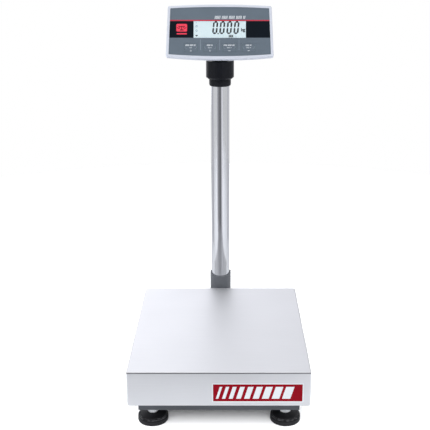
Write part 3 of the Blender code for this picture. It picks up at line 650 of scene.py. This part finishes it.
def makeInside():
    eased("base_frame", "framePaint", "base", 0.0006, 3)
    eased("load_cell", "milledAluminium", "base", 0.0004)
    eased("load_carrier", "castAluminium", "load_carrier", 0.0012, 3)
    for end, body in (("lower", "base"), ("upper", "load_carrier")):
        eased("cell_spacer_" + end, "zincPlate", body, 0.0003)
    for i in range(1, 5):
        low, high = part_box(f"pan_pad_{i}")
        pad = [
            (0, low.z), (padRadius - 0.0004, low.z), (padRadius, low.z + 0.0006),
            (padRadius - 0.0002, high.z - 0.0006), (padRadius - 0.0008, high.z), (0, high.z),
        ]
        roundAt(f"pan_pad_{i}", pad, f"panCushion_{i}", "padRubber", "load_carrier")
        low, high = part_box(f"overload_stop_{i}")
        screwWithNut(f"overload_stop_{i}", f"overloadScrew_{i}", low.z, high.z, 0.0643, 0.0708)
    low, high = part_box("level_cup")
    cup = [
        (0, low.z), (cupRadius, low.z), (cupRadius, high.z - 0.0006), (cupRadius - 0.0006, high.z),
        (cupBore + 0.0004, high.z), (cupBore, high.z - 0.0004), (cupBore, cupFloor), (0, cupFloor),
    ]
    roundAt("level_cup", cup, "levelCup", "blackMoulding", "base")
    low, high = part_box("level_vial")
    vial = [
        (0, low.z), (vialRadius, low.z), (vialRadius, high.z - 0.0008),
        (vialRadius - 0.0007, high.z - 0.0002), (0, high.z),
    ]
    roundAt("level_vial", vial, "levelVial", "vialClear", "base")
    for end, body in (("lower", "base"), ("upper", "load_carrier")):
        for i in (1, 2):
            eased(f"cell_bolt_{end}_{i}", "zincPlate", body, 0.0003)


makeInside()
print("frame and load cell made")


column = dict(radius=0.01825, wall=0.0020, cableHole=0.0034, screwHole=0.0033)
collar = dict(radius=0.02675, ringRadius=0.0210, clearance=0.00035, flutes=36, fluteDepth=0.00022)


def alongY(profile, steps=48):
    # a turned piece whose axis points to the rear
    return turned(spunShape(profile, steps), Matrix.Rotation(-math.pi / 2, 4, "X"))


def drill(radius, near, far, x, z):
    # a plain cutter whose axis points to the rear
    return moved(alongY([(0, near), (radius, near), (radius, far), (0, far)], 24), x, 0, z)


def fluted(bm, count, depth, lowest, low, high):
    # shallow upright grooves round the walls beyond a radius and between two heights
    for v in bm.verts:
        radius = math.hypot(v.co.x, v.co.y)
        if radius > lowest and low <= v.co.z <= high:
            wave = 0.5 - 0.5 * math.cos(count * math.atan2(v.co.y, v.co.x))
            factor = (radius - depth * wave**0.5) / radius
            v.co.x, v.co.y = v.co.x * factor, v.co.y * factor


def makeColumn():
    r, inner = column["radius"], column["radius"] - column["wall"]
    low, high = tubeLow.z, tubeHigh.z
    wall = [
        (inner, low), (r - 0.0003, low), (r, low + 0.0003), (r, high - 0.0003), (r - 0.0003, high),
        (inner, high),
    ]
    screws = [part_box("column_screw_" + where) for where in ("lower", "upper")]
    heights = [(lowest.z + highest.z) / 2 for lowest, highest in screws]
    holes = [drill(column["cableHole"], -0.03, 0, 0, 0.046)]
    holes += [drill(column["screwHole"], 0.008, 0.03, 0, height) for height in heights]
    tube = moved(carved(spunShape(wall, 128), holes), *columnAt)
    newPiece("polishedTube", tube, "columnSteel", "base", ["column_tube"], 40)
    eased("column_bracket", "bracketPaint", "base", 0.0005, 3, 45)
    eased("column_strap", "bracketPaint", "base", 0.0003)
    for where, height, (lowest, highest) in zip(("lower", "upper"), heights, screws):
        front, rear = lowest.y - columnAt.y, highest.y - columnAt.y
        profile = [
            (0, front), (0.0026, front), (0.0030, front + 0.0004), (0.0030, rear - 0.0040),
            (0.0050, rear - 0.0040), (0.0050, rear - 0.0006), (0.0044, rear), (0.0022, rear),
            (0.0022, rear - 0.0022), (0, rear - 0.0022),
        ]
        shape = moved(alongY(profile), columnAt.x, columnAt.y, height)
        newPiece("strapScrew_" + where, shape, "zincPlate", "base", ["column_screw_" + where])
    for side in ("left", "right"):
        node = "bracket_bolt_" + side
        lowest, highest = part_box(node)
        screwWithNut(node, "bracketBolt_" + side, lowest.z + 0.001, highest.z, lowest.z, 0.0294)
    lead = frame["nodes"]["load_cell_cable"].data.materials
    lead.clear()
    lead.append(finish["cableJacket"])


def makeCollar():
    bore, ring, wide = column["radius"] + collar["clearance"], collar["ringRadius"], collar["radius"]
    lowest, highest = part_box("clamp_ring")
    low, high = lowest.z, highest.z
    band = [
        (bore, low), (0.0188, low), (0.0196, low + 0.0004), (0.0204, low + 0.0014), (ring, low + 0.0036),
        (ring, high - 0.0008), (ring - 0.0004, high), (bore, high),
    ]
    bm = spunShape(band, 144)
    fluted(bm, 24, 0.00018, ring - 0.0002, low, high)
    newPiece(
        "clampRing", moved(bm, *columnAt), "blackMoulding", "clamp_ring", ["clamp_ring"]
    )
    lowest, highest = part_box("column_collar")
    low, high = lowest.z, highest.z
    cap = tubeHigh.z + 0.0015
    shell = [
        (bore, low), (ring - 0.0004, low), (ring, low + 0.0003), (wide - 0.0006, low + 0.0045),
        (wide, low + 0.0053),
        (wide, low + 0.0066), (wide, high - 0.0020), (wide - 0.0004, high - 0.0007), (wide - 0.0014, high),
        (0.0060, high), (0.0060, cap), (bore, cap),
    ]
    bm = spunShape(shell, 216)
    fluted(bm, collar["flutes"], collar["fluteDepth"], wide - 0.0001, low + 0.0055, high - 0.0015)
    height = nodeCentre("collar_screw").z
    bm = moved(carved(bm, [drill(0.0028, 0.016, 0.04, 0, height)]), *columnAt)
    newPiece("swivelCollar", bm, "blackMoulding", "swivel_head", ["column_collar"])
    knob = [
        (0, 0.0190), (0.0022, 0.0190), (0.0025, 0.0194), (0.0025, 0.0272), (0.0072, 0.0272), (0.0079, 0.0279),
        (0.0079, 0.0341), (0.0070, 0.0348), (0.0045, 0.0350), (0, 0.0350),
    ]
    bm = spunShape(knob, 96)
    fluted(bm, 12, 0.0007, 0.0070, 0.0275, 0.0345)
    turned(bm, Matrix.Rotation(-math.pi / 2, 4, "X"))
    moved(bm, columnAt.x, columnAt.y, height)
    newPiece("collarKnob", bm, "blackMoulding", "collar_screw", ["collar_screw"])
    eased("tilt_yoke", "blackMoulding", "swivel_head", 0.0010, 3)
    half, r, chamfer = 0.0215, 0.0040, 0.0006
    pin = [
        (0, -half), (r - chamfer, -half), (r, chamfer - half), (r, half - chamfer), (r - chamfer, half),
        (0, half),
    ]
    bm = turned(spunShape(pin, 48), Matrix.Translation(pivot) @ Matrix.Rotation(math.pi / 2, 4, "Y"))
    newPiece("tiltPin", bm, "zincPlate", "swivel_head", ["tilt_pin"])


makeColumn()
makeCollar()
print("column and collar made")


# heights run up the leaning face from the bezel's lower corners, depths into the case
leaning = dict(
    lean=18.0, pivotDeep=0.034715, pivotUp=0.032309, bezelDepth=0.0140, plate=0.0032, pocket=0.0014
)
case = dict(halfBottom=0.10025, halfTop=0.0963, bottom=0.0, top=0.094, bowBottom=0.0050, bowTop=0.0031)
film = dict(halfBottom=0.0948, halfTop=0.0914, bottom=0.0047, top=0.0894, bowBottom=0.0035, bowTop=0.0026)
window = dict(half=0.0482, bottom=0.0350, top=0.0662)
keys = dict(pitch=0.0358, half=0.0120, bottom=0.0090, top=0.0240)
gap = 0.0003
onFace = (
    Matrix.Translation(pivot)
    @ Matrix.Rotation(-math.radians(leaning["lean"]), 4, "X")
    @ Matrix.Translation((0, -leaning["pivotDeep"], -leaning["pivotUp"]))
)


def bowed(shape, inset=0.0, steps=28):
    # an outline with slanting sides, and top and bottom edges that bow outwards
    points = []
    for i in range(steps + 1):
        across = 2 * i / steps - 1
        bow = shape["bowBottom"] * (1 - across**2)
        points.append(((shape["halfBottom"] - inset) * across, shape["bottom"] + inset - bow))
    for i in range(steps + 1):
        across = 1 - 2 * i / steps
        bow = shape["bowTop"] * (1 - across**2)
        points.append(((shape["halfTop"] - inset) * across, shape["top"] - inset + bow))
    return points


def deepEdges(bm, angle):
    # sharp edges that run straight into the case
    return [e for e in sharpEdges(bm, angle) if abs((e.verts[0].co - e.verts[1].co).normalized().y) > 0.99]


def bowedShape(shape, low, high, corner, inset=0.0):
    bm = sheetShape(bowed(shape, inset), low, high)
    roundEdges(bm, deepEdges(bm, 45), corner, 6)
    return bm


def frontEdges(bm, depth, angle=45):
    return [e for e in sharpEdges(bm, angle) if all(abs(v.co.y - depth) < 1e-6 for v in e.verts)]


def openings(low, high, grow):
    w, k = window, keys
    made = [boxShape((-w["half"] - grow, low, w["bottom"] - grow), (w["half"] + grow, high, w["top"] + grow))]
    for i in range(4):
        x = (i - 1.5) * k["pitch"]
        start = (x - k["half"] - grow, low, k["bottom"] - grow)
        opening = boxShape(start, (x + k["half"] + grow, high, k["top"] + grow))
        roundEdges(opening, deepEdges(opening, 45), 0.0015, 5)
        made.append(opening)
    return made


def filmSlice(shape, bottom, top, low, high):
    # the part of a bowed outline between two heights
    bm = flatShape(bowed(shape), low)
    for height, up in ((bottom, -1), (top, 1)):
        geom = bm.verts[:] + bm.edges[:] + bm.faces[:]
        bmesh.ops.bisect_plane(bm, geom=geom, plane_co=(0, 0, height), plane_no=(0, 0, up), clear_outer=True)
    return pushedBack(bm, high - low)


def onIndicator(name, bm, material, replaced=(), sharp=32, body="indicator"):
    newPiece(name, turned(bm, onFace), material, body, replaced, sharp)


def makeBezel():
    bm = bowedShape(case, 0, leaning["bezelDepth"], corner=0.0030)
    roundEdges(bm, frontEdges(bm, 0), 0.0019, 5)
    hollow = bowedShape(case, leaning["plate"], leaning["bezelDepth"] + 0.01, inset=0.0028, corner=0.0015)
    pocket = bowedShape(film, -0.01, leaning["pocket"], inset=-gap, corner=0.0012)
    bm = carved(bm, [hollow, pocket, *openings(-0.01, 0.006, gap)])
    onIndicator("displayBezel", bm, "caseMoulding", ["front_bezel"])
    bm = bowedShape(film, gap, leaning["pocket"] - gap, corner=0.0010)
    bm = carved(bm, openings(-0.01, 0.006, gap))
    onIndicator("printedFilm", bm, "filmGrey", ["overlay_film"])


# a printed layer's back and front, and how far the next layer stands out
printHigh, printLow, inkStep = gap, gap - 0.00005, 0.00004
bandBottom, bandTop, lineTop = 0.0351, 0.0660, 0.0681


def onFilm(name, bm, material, body="indicator"):
    onIndicator(name, bm, material, sharp=20, body=body)


def makePrinting():
    half, low, high = window["half"] + gap, window["bottom"] - gap, window["top"] + gap
    hole = boxShape((-half, -0.01, low), (half, 0.01, high))
    onFilm(
        "printedBand", carved(filmSlice(film, bandBottom, bandTop, printLow, printHigh), [hole]), "inkBlack"
    )
    onFilm("printedLine", filmSlice(film, bandTop + 0.0002, lineTop, printLow, printHigh), "inkRed")
    onFilm("printedTitle", hatch(-0.0095, 0.0490, 0.0700, 0.0757, 0.0011, 0.0022), "inkWhite")
    for i in (-1, 0, 1):
        x = i * keys["pitch"]
        divider = boxShape((x - 0.0003, printLow, 0.012), (x + 0.0003, printHigh, 0.032))
        onFilm(f"keyDivider_{i + 2}", divider, "inkPale")


def hatch(left, right, bottom, top, thick, pitch):
    # a run of short slanting strokes
    count = int((right - left) / pitch)
    strokes = [
        slantedBar(left + i * pitch, bottom, thick, top - bottom, 0.18)
        for i in range(count) if i % 6 != 5
    ]
    return marks(strokes, printLow, printHigh)


def arcBand(x, z, radius, thick, start, end, steps=14):
    # an outline that follows an arc
    angles = [math.radians(start + (end - start) * i / steps) for i in range(steps + 1)]
    outer, inner = [
        [(x + r * math.cos(a), z + r * math.sin(a)) for a in angles]
        for r in (radius + thick / 2, radius - thick / 2)
    ]
    return outer + inner[::-1]


def bar(x, z, halfWidth, halfHeight):
    return [
        (x - halfWidth, z - halfHeight), (x + halfWidth, z - halfHeight),
        (x + halfWidth, z + halfHeight), (x - halfWidth, z + halfHeight),
    ]


emblem = dict(
    x=-0.0705, half=0.0100, bottom=0.0465, top=0.0607, underHalf=0.0095, underBottom=0.0412, underTop=0.0436
)


def roundedPatch(name, x, half, low, high, corner, segments):
    patch = boxShape((x - half, printLow - inkStep, low), (x + half, printLow, high))
    roundEdges(patch, deepEdges(patch, 45), corner, segments)
    onFilm(name, patch, "inkBadge")


def makeEmblem():
    # a plain balance sign on a red ground, with a bar under it
    x, low, high = emblem["x"], emblem["bottom"], emblem["top"]
    roundedPatch("emblemGround", x, emblem["half"], low, high, 0.0022, 6)
    middle = (low + high) / 2
    sign = [bar(x, middle + 0.0026, 0.0062, 0.00055), bar(x, middle - 0.0004, 0.0006, 0.0034)]
    sign += [bar(x, middle - 0.0042, 0.0034, 0.0007)]
    sign += [arcBand(x + side * 0.0056, middle + 0.0016, 0.0026, 0.0010, 195, 345) for side in (-1, 1)]
    onFilm("emblemSign", marks(sign, printLow - 2 * inkStep, printLow - inkStep), "inkBlack")
    roundedPatch("emblemBar", x, emblem["underHalf"], emblem["underBottom"], emblem["underTop"], 0.0008, 4)


digits = dict(count=4, first=-0.0145, pitch=0.01315, foot=0.0424, width=0.0096, tall=0.0240)
display = dict(
    half=0.055, back=0.0095, bottom=0.0290, top=0.0725, paneBack=0.0022, inkFront=0.0034, inkBack=0.00345
)


def onDisplay(name, outlines, material="displayInk"):
    shape = marks(outlines, display["inkFront"], display["inkBack"])
    onIndicator(name, shape, material, sharp=20)


def makeDisplayParts():
    w, d = window, display
    bm = boxShape((-w["half"], gap, w["bottom"]), (w["half"], d["paneBack"], w["top"]), 0.00025, 2)
    onIndicator("displayPane", bm, "displayClear", ["display_window"])
    bm = boxShape(
        (-d["half"], leaning["plate"] + gap, d["bottom"]), (d["half"], d["back"], d["top"]), 0.0005, 2
    )
    onIndicator("displayPanel", bm, "displayPale", ["lcd_module"])
    strokes = []
    for i in range(digits["count"]):
        strokes += digitZero(
            digits["first"] + digits["pitch"] * i, digits["foot"], digits["width"], digits["tall"]
        )
    point = bar(-0.0030, 0.0434, 0.0012, 0.0011)
    onDisplay("displayDigits", strokes + [point])
    cells = [bar(0.0180 + 0.0028 * i, 0.0386, 0.0012, 0.0014) for i in range(3)]
    cells += [bar(0.0208, 0.0386 + side * 0.0020, 0.0046, 0.0003) for side in (-1, 1)]
    onDisplay("displayBattery", cells)
    hints = [arcBand(-0.0430, z, 0.0015, 0.0007, 0, 330) for z in (0.0570, 0.0490)]
    hints += [bar(-0.0430, 0.0632, 0.0002, 0.0013), bar(0.0300, 0.0386, 0.0016, 0.0002)]
    onDisplay("displayHints", hints, "displayFaint")
    onDisplay("displayArrow", [[(-0.0458, 0.0408), (-0.0430, 0.0376), (-0.0402, 0.0408)]])


def digitZero(x, z, width, height, thick=0.0031, slant=0.105):
    # six pointed strokes round a slanting nought
    half, middle, space = thick / 2, height / 2, 0.00028

    def stroke(a, b):
        a, b = Vector(a), Vector(b)
        along = (b - a).normalized()
        side = Vector((-along.y, along.x)) * half
        a, b = a + along * space, b - along * space
        tip = along * half
        points = [a, a + tip + side, b - tip + side, b, b - tip - side, a + tip - side]
        return [(x + p.x + slant * p.y, z + p.y) for p in points]

    left, right = half, width - half
    corners = [
        (left, half), (left, middle), (left, height - half), (right, height - half), (right, middle),
        (right, half),
    ]
    return [stroke(a, b) for a, b in zip(corners, corners[1:] + corners[:1])]


def unitSign():
    # the weight unit beside the figures
    words = bpy.data.curves.new("unitSign", "FONT")
    words.body = "kg"
    words.size = 0.0086
    words.extrude = 0.000025
    words.offset = 0.00030
    thing = linked("unitSign", words)
    bpy.context.view_layer.update()
    mesh = bpy.data.meshes.new_from_object(thing.evaluated_get(bpy.context.evaluated_depsgraph_get()))
    bpy.data.objects.remove(thing)
    bm = bmesh.new()
    bm.from_mesh(mesh)
    turned(bm, Matrix.Translation((0.0392, 0.003425, 0.0478)) @ Matrix.Rotation(math.pi / 2, 4, "X"))
    onIndicator("displayUnit", bm, "displayInk", sharp=20)


post = dict(radius=0.0030, front=0.0006, end=0.0096, chamfer=0.0004)
# the widths of each key's two printed names
nameWidths = ((0.0200, 0.0050), (0.0120, 0.0082), (0.0212, 0.0092), (0.0112, 0.0092))


def makeKeys():
    r, front, end, chamfer = (post[part] for part in ("radius", "front", "end", "chamfer"))
    middle = (keys["bottom"] + keys["top"]) / 2
    for i, (wide, narrow) in enumerate(nameWidths, 1):
        body, x = f"key_{i}", (i - 2.5) * keys["pitch"]
        cap = boxShape((x - keys["half"], gap, keys["bottom"]), (x + keys["half"], 0.0011, keys["top"]))
        roundEdges(cap, deepEdges(cap, 45), 0.0013, 5)
        stem = alongY([(0, front), (r, front), (r, end - chamfer), (r - chamfer, end), (0, end)], 32)
        cap = carved(cap, [moved(stem, x, 0, middle)], "UNION")
        onIndicator(f"filmKey_{i}", cap, "filmGrey", [body], body=body)
        name = hatch(x - wide / 2, x + wide / 2, 0.0199, 0.0225, 0.00075, 0.00135)
        onFilm(f"keyName_{i}", name, "inkWhite", body)
        under = hatch(x - narrow / 2, x + narrow / 2, 0.0158, 0.0174, 0.00050, 0.00110)
        onFilm(f"keySub_{i}", under, "inkWhite", body)
        turns = ((-1, 185, 255), (1, 285, 355))
        sides = [
            arcBand(x + side * 0.0060, 0.0196, 0.0052, 0.00035, start, stop) for side, start, stop in turns
        ]
        onFilm(f"keyBracket_{i}", marks(sides, printLow, printHigh), "inkPale", body)
    icons = {
        1: [arcBand(0, 0.0108, 0.0011, 0.0004, 125, 415), bar(0, 0.0120, 0.0002, 0.0009)],
        2: [arcBand(0, 0.0110, 0.0011, 0.0004, 0, 330)],
        3: [bar(-0.0010, 0.0110, 0.0014, 0.0003), [(0.0004, 0.0101), (0.0020, 0.0110), (0.0004, 0.0119)]],
        4: [bar(0.0008, 0.0110, 0.0014, 0.0003), [(-0.0004, 0.0101), (-0.0020, 0.0110), (-0.0004, 0.0119)]],
    }
    for number, outlines in icons.items():
        x = (number - 2.5) * keys["pitch"]
        placed = [[(x + px, z) for px, z in outline] for outline in outlines]
        onFilm(f"keyIcon_{number}", marks(placed, printLow, printHigh), "inkWhite", f"key_{number}")


def crossHead(under, radius, height, length, shank=0.0015):
    # a domed screw head with a cross cut in it, pointing into the case
    profile = [
        (0, under - length), (shank - 0.0003, under - length), (shank, under - length + 0.0004),
        (shank, under),
        (radius, under), (radius, under + 0.35 * height), (0.86 * radius, under + 0.75 * height),
        (0.5 * radius, under + height), (0, under + height),
    ]
    bm = alongY(profile, 40)
    deep = under + 0.35 * height
    arms = [((-0.0021, -0.00042), (0.0021, 0.00042)), ((-0.00042, -0.0021), (0.00042, 0.0021))]
    crosses = [boxShape((low[0], deep, low[1]), (high[0], under + 0.01, high[1])) for low, high in arms]
    return carved(bm, crosses)


rearCase = dict(back=0.060, screwX=0.080, doorHalf=0.058, doorLow=0.0525, doorHigh=0.0855, doorScrew=0.0795)


def makeRear():
    back, side = rearCase["back"], rearCase["screwX"]
    half, doorScrew = rearCase["doorHalf"], rearCase["doorScrew"]
    eased("rear_shell", "caseMoulding", "indicator", 0.0008, 3, 35)
    door = boxShape((-half, back - 0.003, rearCase["doorLow"]), (half, back, rearCase["doorHigh"]), 0.0007, 3)
    ribs = [
        boxShape((-0.020, back - 0.001, z - 0.0005), (0.020, back + 0.0006, z + 0.0005), 0.00025, 2)
        for z in (0.0565, 0.0590, 0.0615)
    ]
    door = carved(carved(door, ribs, "UNION"), [drill(0.0018, 0.05, 0.07, 0, doorScrew)])
    onIndicator("batteryDoor", door, "caseMoulding", ["battery_door"])
    # each screw's place across and up, and its length
    spots = {"door_screw": (0, doorScrew, 0.0050)}
    for i, (x, z) in enumerate(((-side, 0.030), (side, 0.030), (-side, 0.078), (side, 0.078)), 1):
        spots[f"case_screw_{i}"] = (x, z, 0.0200)
    for node, (x, z, length) in spots.items():
        shape = moved(crossHead(back + gap, 0.0032, 0.0020, length), x, 0, z)
        onIndicator(node.replace("_", "") + "Cross", shape, "zincPlate", [node])
    socket = [
        (0, 0.046), (0.0056, 0.046), (0.0060, 0.0464), (0.0060, back + gap), (0.0074, back + gap),
        (0.0078, back + 0.0007), (0.0078, 0.0616), (0.0074, 0.0620), (0.0034, 0.0620), (0.0030, 0.0616),
        (0.0030, 0.0530), (0, 0.0530),
    ]
    shape = moved(alongY(socket, 56), -0.045, 0, 0.034)
    onIndicator("powerInlet", shape, "blackMoulding", ["power_socket"])
    eased("main_board", "boardMask", "indicator", 0.0002)
    eased("battery_pack", "cellWrap", "indicator", 0.0008)


makeBezel()
makePrinting()
makeEmblem()
makeDisplayParts()
unitSign()
makeKeys()
makeRear()
print("indicator made")


eyeAt = dict(lens=69.6, pitch=18.0, shift=-0.0292, ahead=1.2165, above=0.667, aside=0.0145)
ground = dict(radius=1.6, power=100.0, glow=0.06, seen=(0.88, 0.885, 0.90), reflected=(0.374, 0.380, 0.397))
air = dict(left=0.84, right=0.78, tint=(0.985, 0.99, 1.0, 1.0))


def makeFloor():
    bm = bmesh.new()
    bmesh.ops.create_circle(bm, cap_ends=True, segments=96, radius=ground["radius"])
    mesh = meshOf("studioFloor", bm)
    floor = linked("studioFloor", mesh)
    plain = dict(Specular_IOR_Level=0.0, Emission_Strength=ground["glow"])
    white, tree, shader = startMaterial("studioWhite", (0.90, 0.90, 0.90), 0.9, **plain)
    shader.inputs["Emission Color"].default_value = (1, 1, 1, 1)
    seen = addNode(tree, "ShaderNodeLightPath").outputs["Is Camera Ray"]
    albedo = blendColour(tree, seen, ground["reflected"], ground["seen"])
    tree.links.new(albedo, shader.inputs["Base Color"])
    # from below the floor is clear, so that the underside can be seen
    clear = addNode(tree, "ShaderNodeBsdfTransparent").outputs[0]
    below = addNode(tree, "ShaderNodeNewGeometry").outputs["Backfacing"]
    either = addNode(tree, "ShaderNodeMixShader", {0: below, 1: shader.outputs[0], 2: clear})
    out = next(node for node in tree.nodes if node.type == "OUTPUT_MATERIAL")
    tree.links.new(either.outputs[0], out.inputs["Surface"])
    mesh.materials.append(white)
    # a lamp that lights only the floor, so that it goes white close to the object
    above = softLight("floorLamp", ground["power"], (2.6, 2.0), (-0.1, -0.95, 1.45), (0, -0.2, 0))
    lit = bpy.data.collections.new("floorOnly")
    lit.objects.link(floor)
    above.light_linking.receiver_collection = lit


def makeWorld():
    world = bpy.data.worlds.new("studioAir")
    bpy.context.scene.world = world
    world.use_nodes = True
    tree = world.node_tree
    tree.nodes.clear()
    aim = addNode(tree, "ShaderNodeTexCoord").outputs["Generated"]
    sideways = addNode(tree, "ShaderNodeSeparateXYZ", {0: aim}).outputs
    fade = spread(tree, sideways["X"], air["left"], air["right"], -0.7, 0.7)
    lit = addNode(tree, "ShaderNodeBackground", {"Color": air["tint"], "Strength": fade})
    plain = addNode(tree, "ShaderNodeBackground", {"Color": (1.0, 1.0, 1.0, 1.0), "Strength": 1.0})
    seen = addNode(tree, "ShaderNodeLightPath").outputs["Is Camera Ray"]
    mixed = addNode(tree, "ShaderNodeMixShader", {0: seen, 1: lit.outputs[0], 2: plain.outputs[0]})
    addNode(tree, "ShaderNodeOutputWorld", {"Surface": mixed.outputs[0]})


def glowingCard(name, stops, width, height, place, turn=0):
    # an upright card that only reflections show, shaded from its left to its right
    bm = bmesh.new()
    bmesh.ops.create_grid(bm, x_segments=1, y_segments=1, size=0.5)
    bmesh.ops.scale(bm, vec=(width, height, 1), verts=bm.verts)
    mesh = meshOf(name, turned(bm, Matrix.Rotation(math.pi / 2, 4, "X")))
    card = linked(name, mesh)
    card.location = place
    card.rotation_euler = (0, 0, math.radians(turn))
    material = bpy.data.materials.new(name)
    material.use_nodes = True
    tree = material.node_tree
    tree.nodes.clear()
    across = addNode(tree, "ShaderNodeSeparateXYZ", {0: objectPlace(tree)}).outputs["X"]
    share = addNode(
        tree, "ShaderNodeMapRange", {"Value": across, "From Min": -width / 2, "From Max": width / 2}
    )
    ramp = addNode(tree, "ShaderNodeValToRGB", {"Fac": share.outputs[0]})
    while len(ramp.color_ramp.elements) < len(stops):
        ramp.color_ramp.elements.new(0.5)
    for element, (position, level) in zip(ramp.color_ramp.elements, stops):
        element.position = position
        element.color = (level, level, level * 1.06, 1)
    glow = addNode(tree, "ShaderNodeEmission", {"Color": ramp.outputs["Color"], "Strength": 1.0})
    addNode(tree, "ShaderNodeOutputMaterial", {"Surface": glow.outputs[0]})
    mesh.materials.append(material)
    card.visible_camera = card.visible_diffuse = card.visible_shadow = card.visible_transmission = False


def softLight(name, power, size, place, aim):
    lamp = bpy.data.lights.new(name, "AREA")
    lamp.energy = power
    lamp.shape = "RECTANGLE"
    lamp.size, lamp.size_y = size
    thing = linked(name, lamp)
    thing.location = place
    thing.rotation_euler = (Vector(aim) - Vector(place)).to_track_quat("-Z", "Y").to_euler()
    return thing


def makeCamera():
    eye = bpy.data.cameras.new("studioCamera")
    eye.lens = eyeAt["lens"]
    eye.sensor_width = 36
    eye.shift_x = eyeAt["shift"]
    eye.clip_start = 0.01
    thing = linked("studioCamera", eye)
    thing.location = (eyeAt["aside"], panLow.y - eyeAt["ahead"], panHigh.z + eyeAt["above"])
    thing.rotation_euler = (math.radians(90 - eyeAt["pitch"]), 0, 0)
    bpy.context.scene.camera = thing


# where each shade changes across its card, and how bright it is there
frontShade = (
    (0.00, 0.95), (0.10, 0.62), (0.22, 0.36), (0.40, 0.30), (0.52, 0.17),
    (0.66, 0.17), (0.78, 0.55), (0.86, 1.0), (1.00, 1.05),
)
sideShade = ((0.0, 0.90), (0.30, 0.55), (0.70, 0.55), (1.0, 0.90))
backShade = ((0.0, 1.68), (0.38, 1.62), (0.52, 1.40), (0.66, 0.84), (1.0, 0.58))
aheadShade = ((0.0, 0.42), (0.5, 0.26), (1.0, 0.36))
makeFloor()
makeWorld()
glowingCard("frontCard", frontShade, 0.86, 0.9, (-0.06, columnAt.y - 0.62, 0.45))
glowingCard("leftCard", sideShade, 0.40, 0.9, (-0.55, columnAt.y + 0.12, 0.45), 90)
glowingCard("rightCard", sideShade, 0.34, 0.9, (0.55, columnAt.y + 0.22, 0.45), 90)
glowingCard("aheadCard", aheadShade, 3.2, 1.9, (0.0, -1.75, 1.15))
glowingCard("backCard", backShade, 3.4, 2.0, (-0.05, 1.7, 1.16))
softLight("overheadBank", 7.0, (1.2, 1.0), (-0.25, -0.2, 1.9), (0, 0, 0.2))
makeCamera()
bpy.context.scene.view_settings.view_transform = "Standard"

print("studio ready")
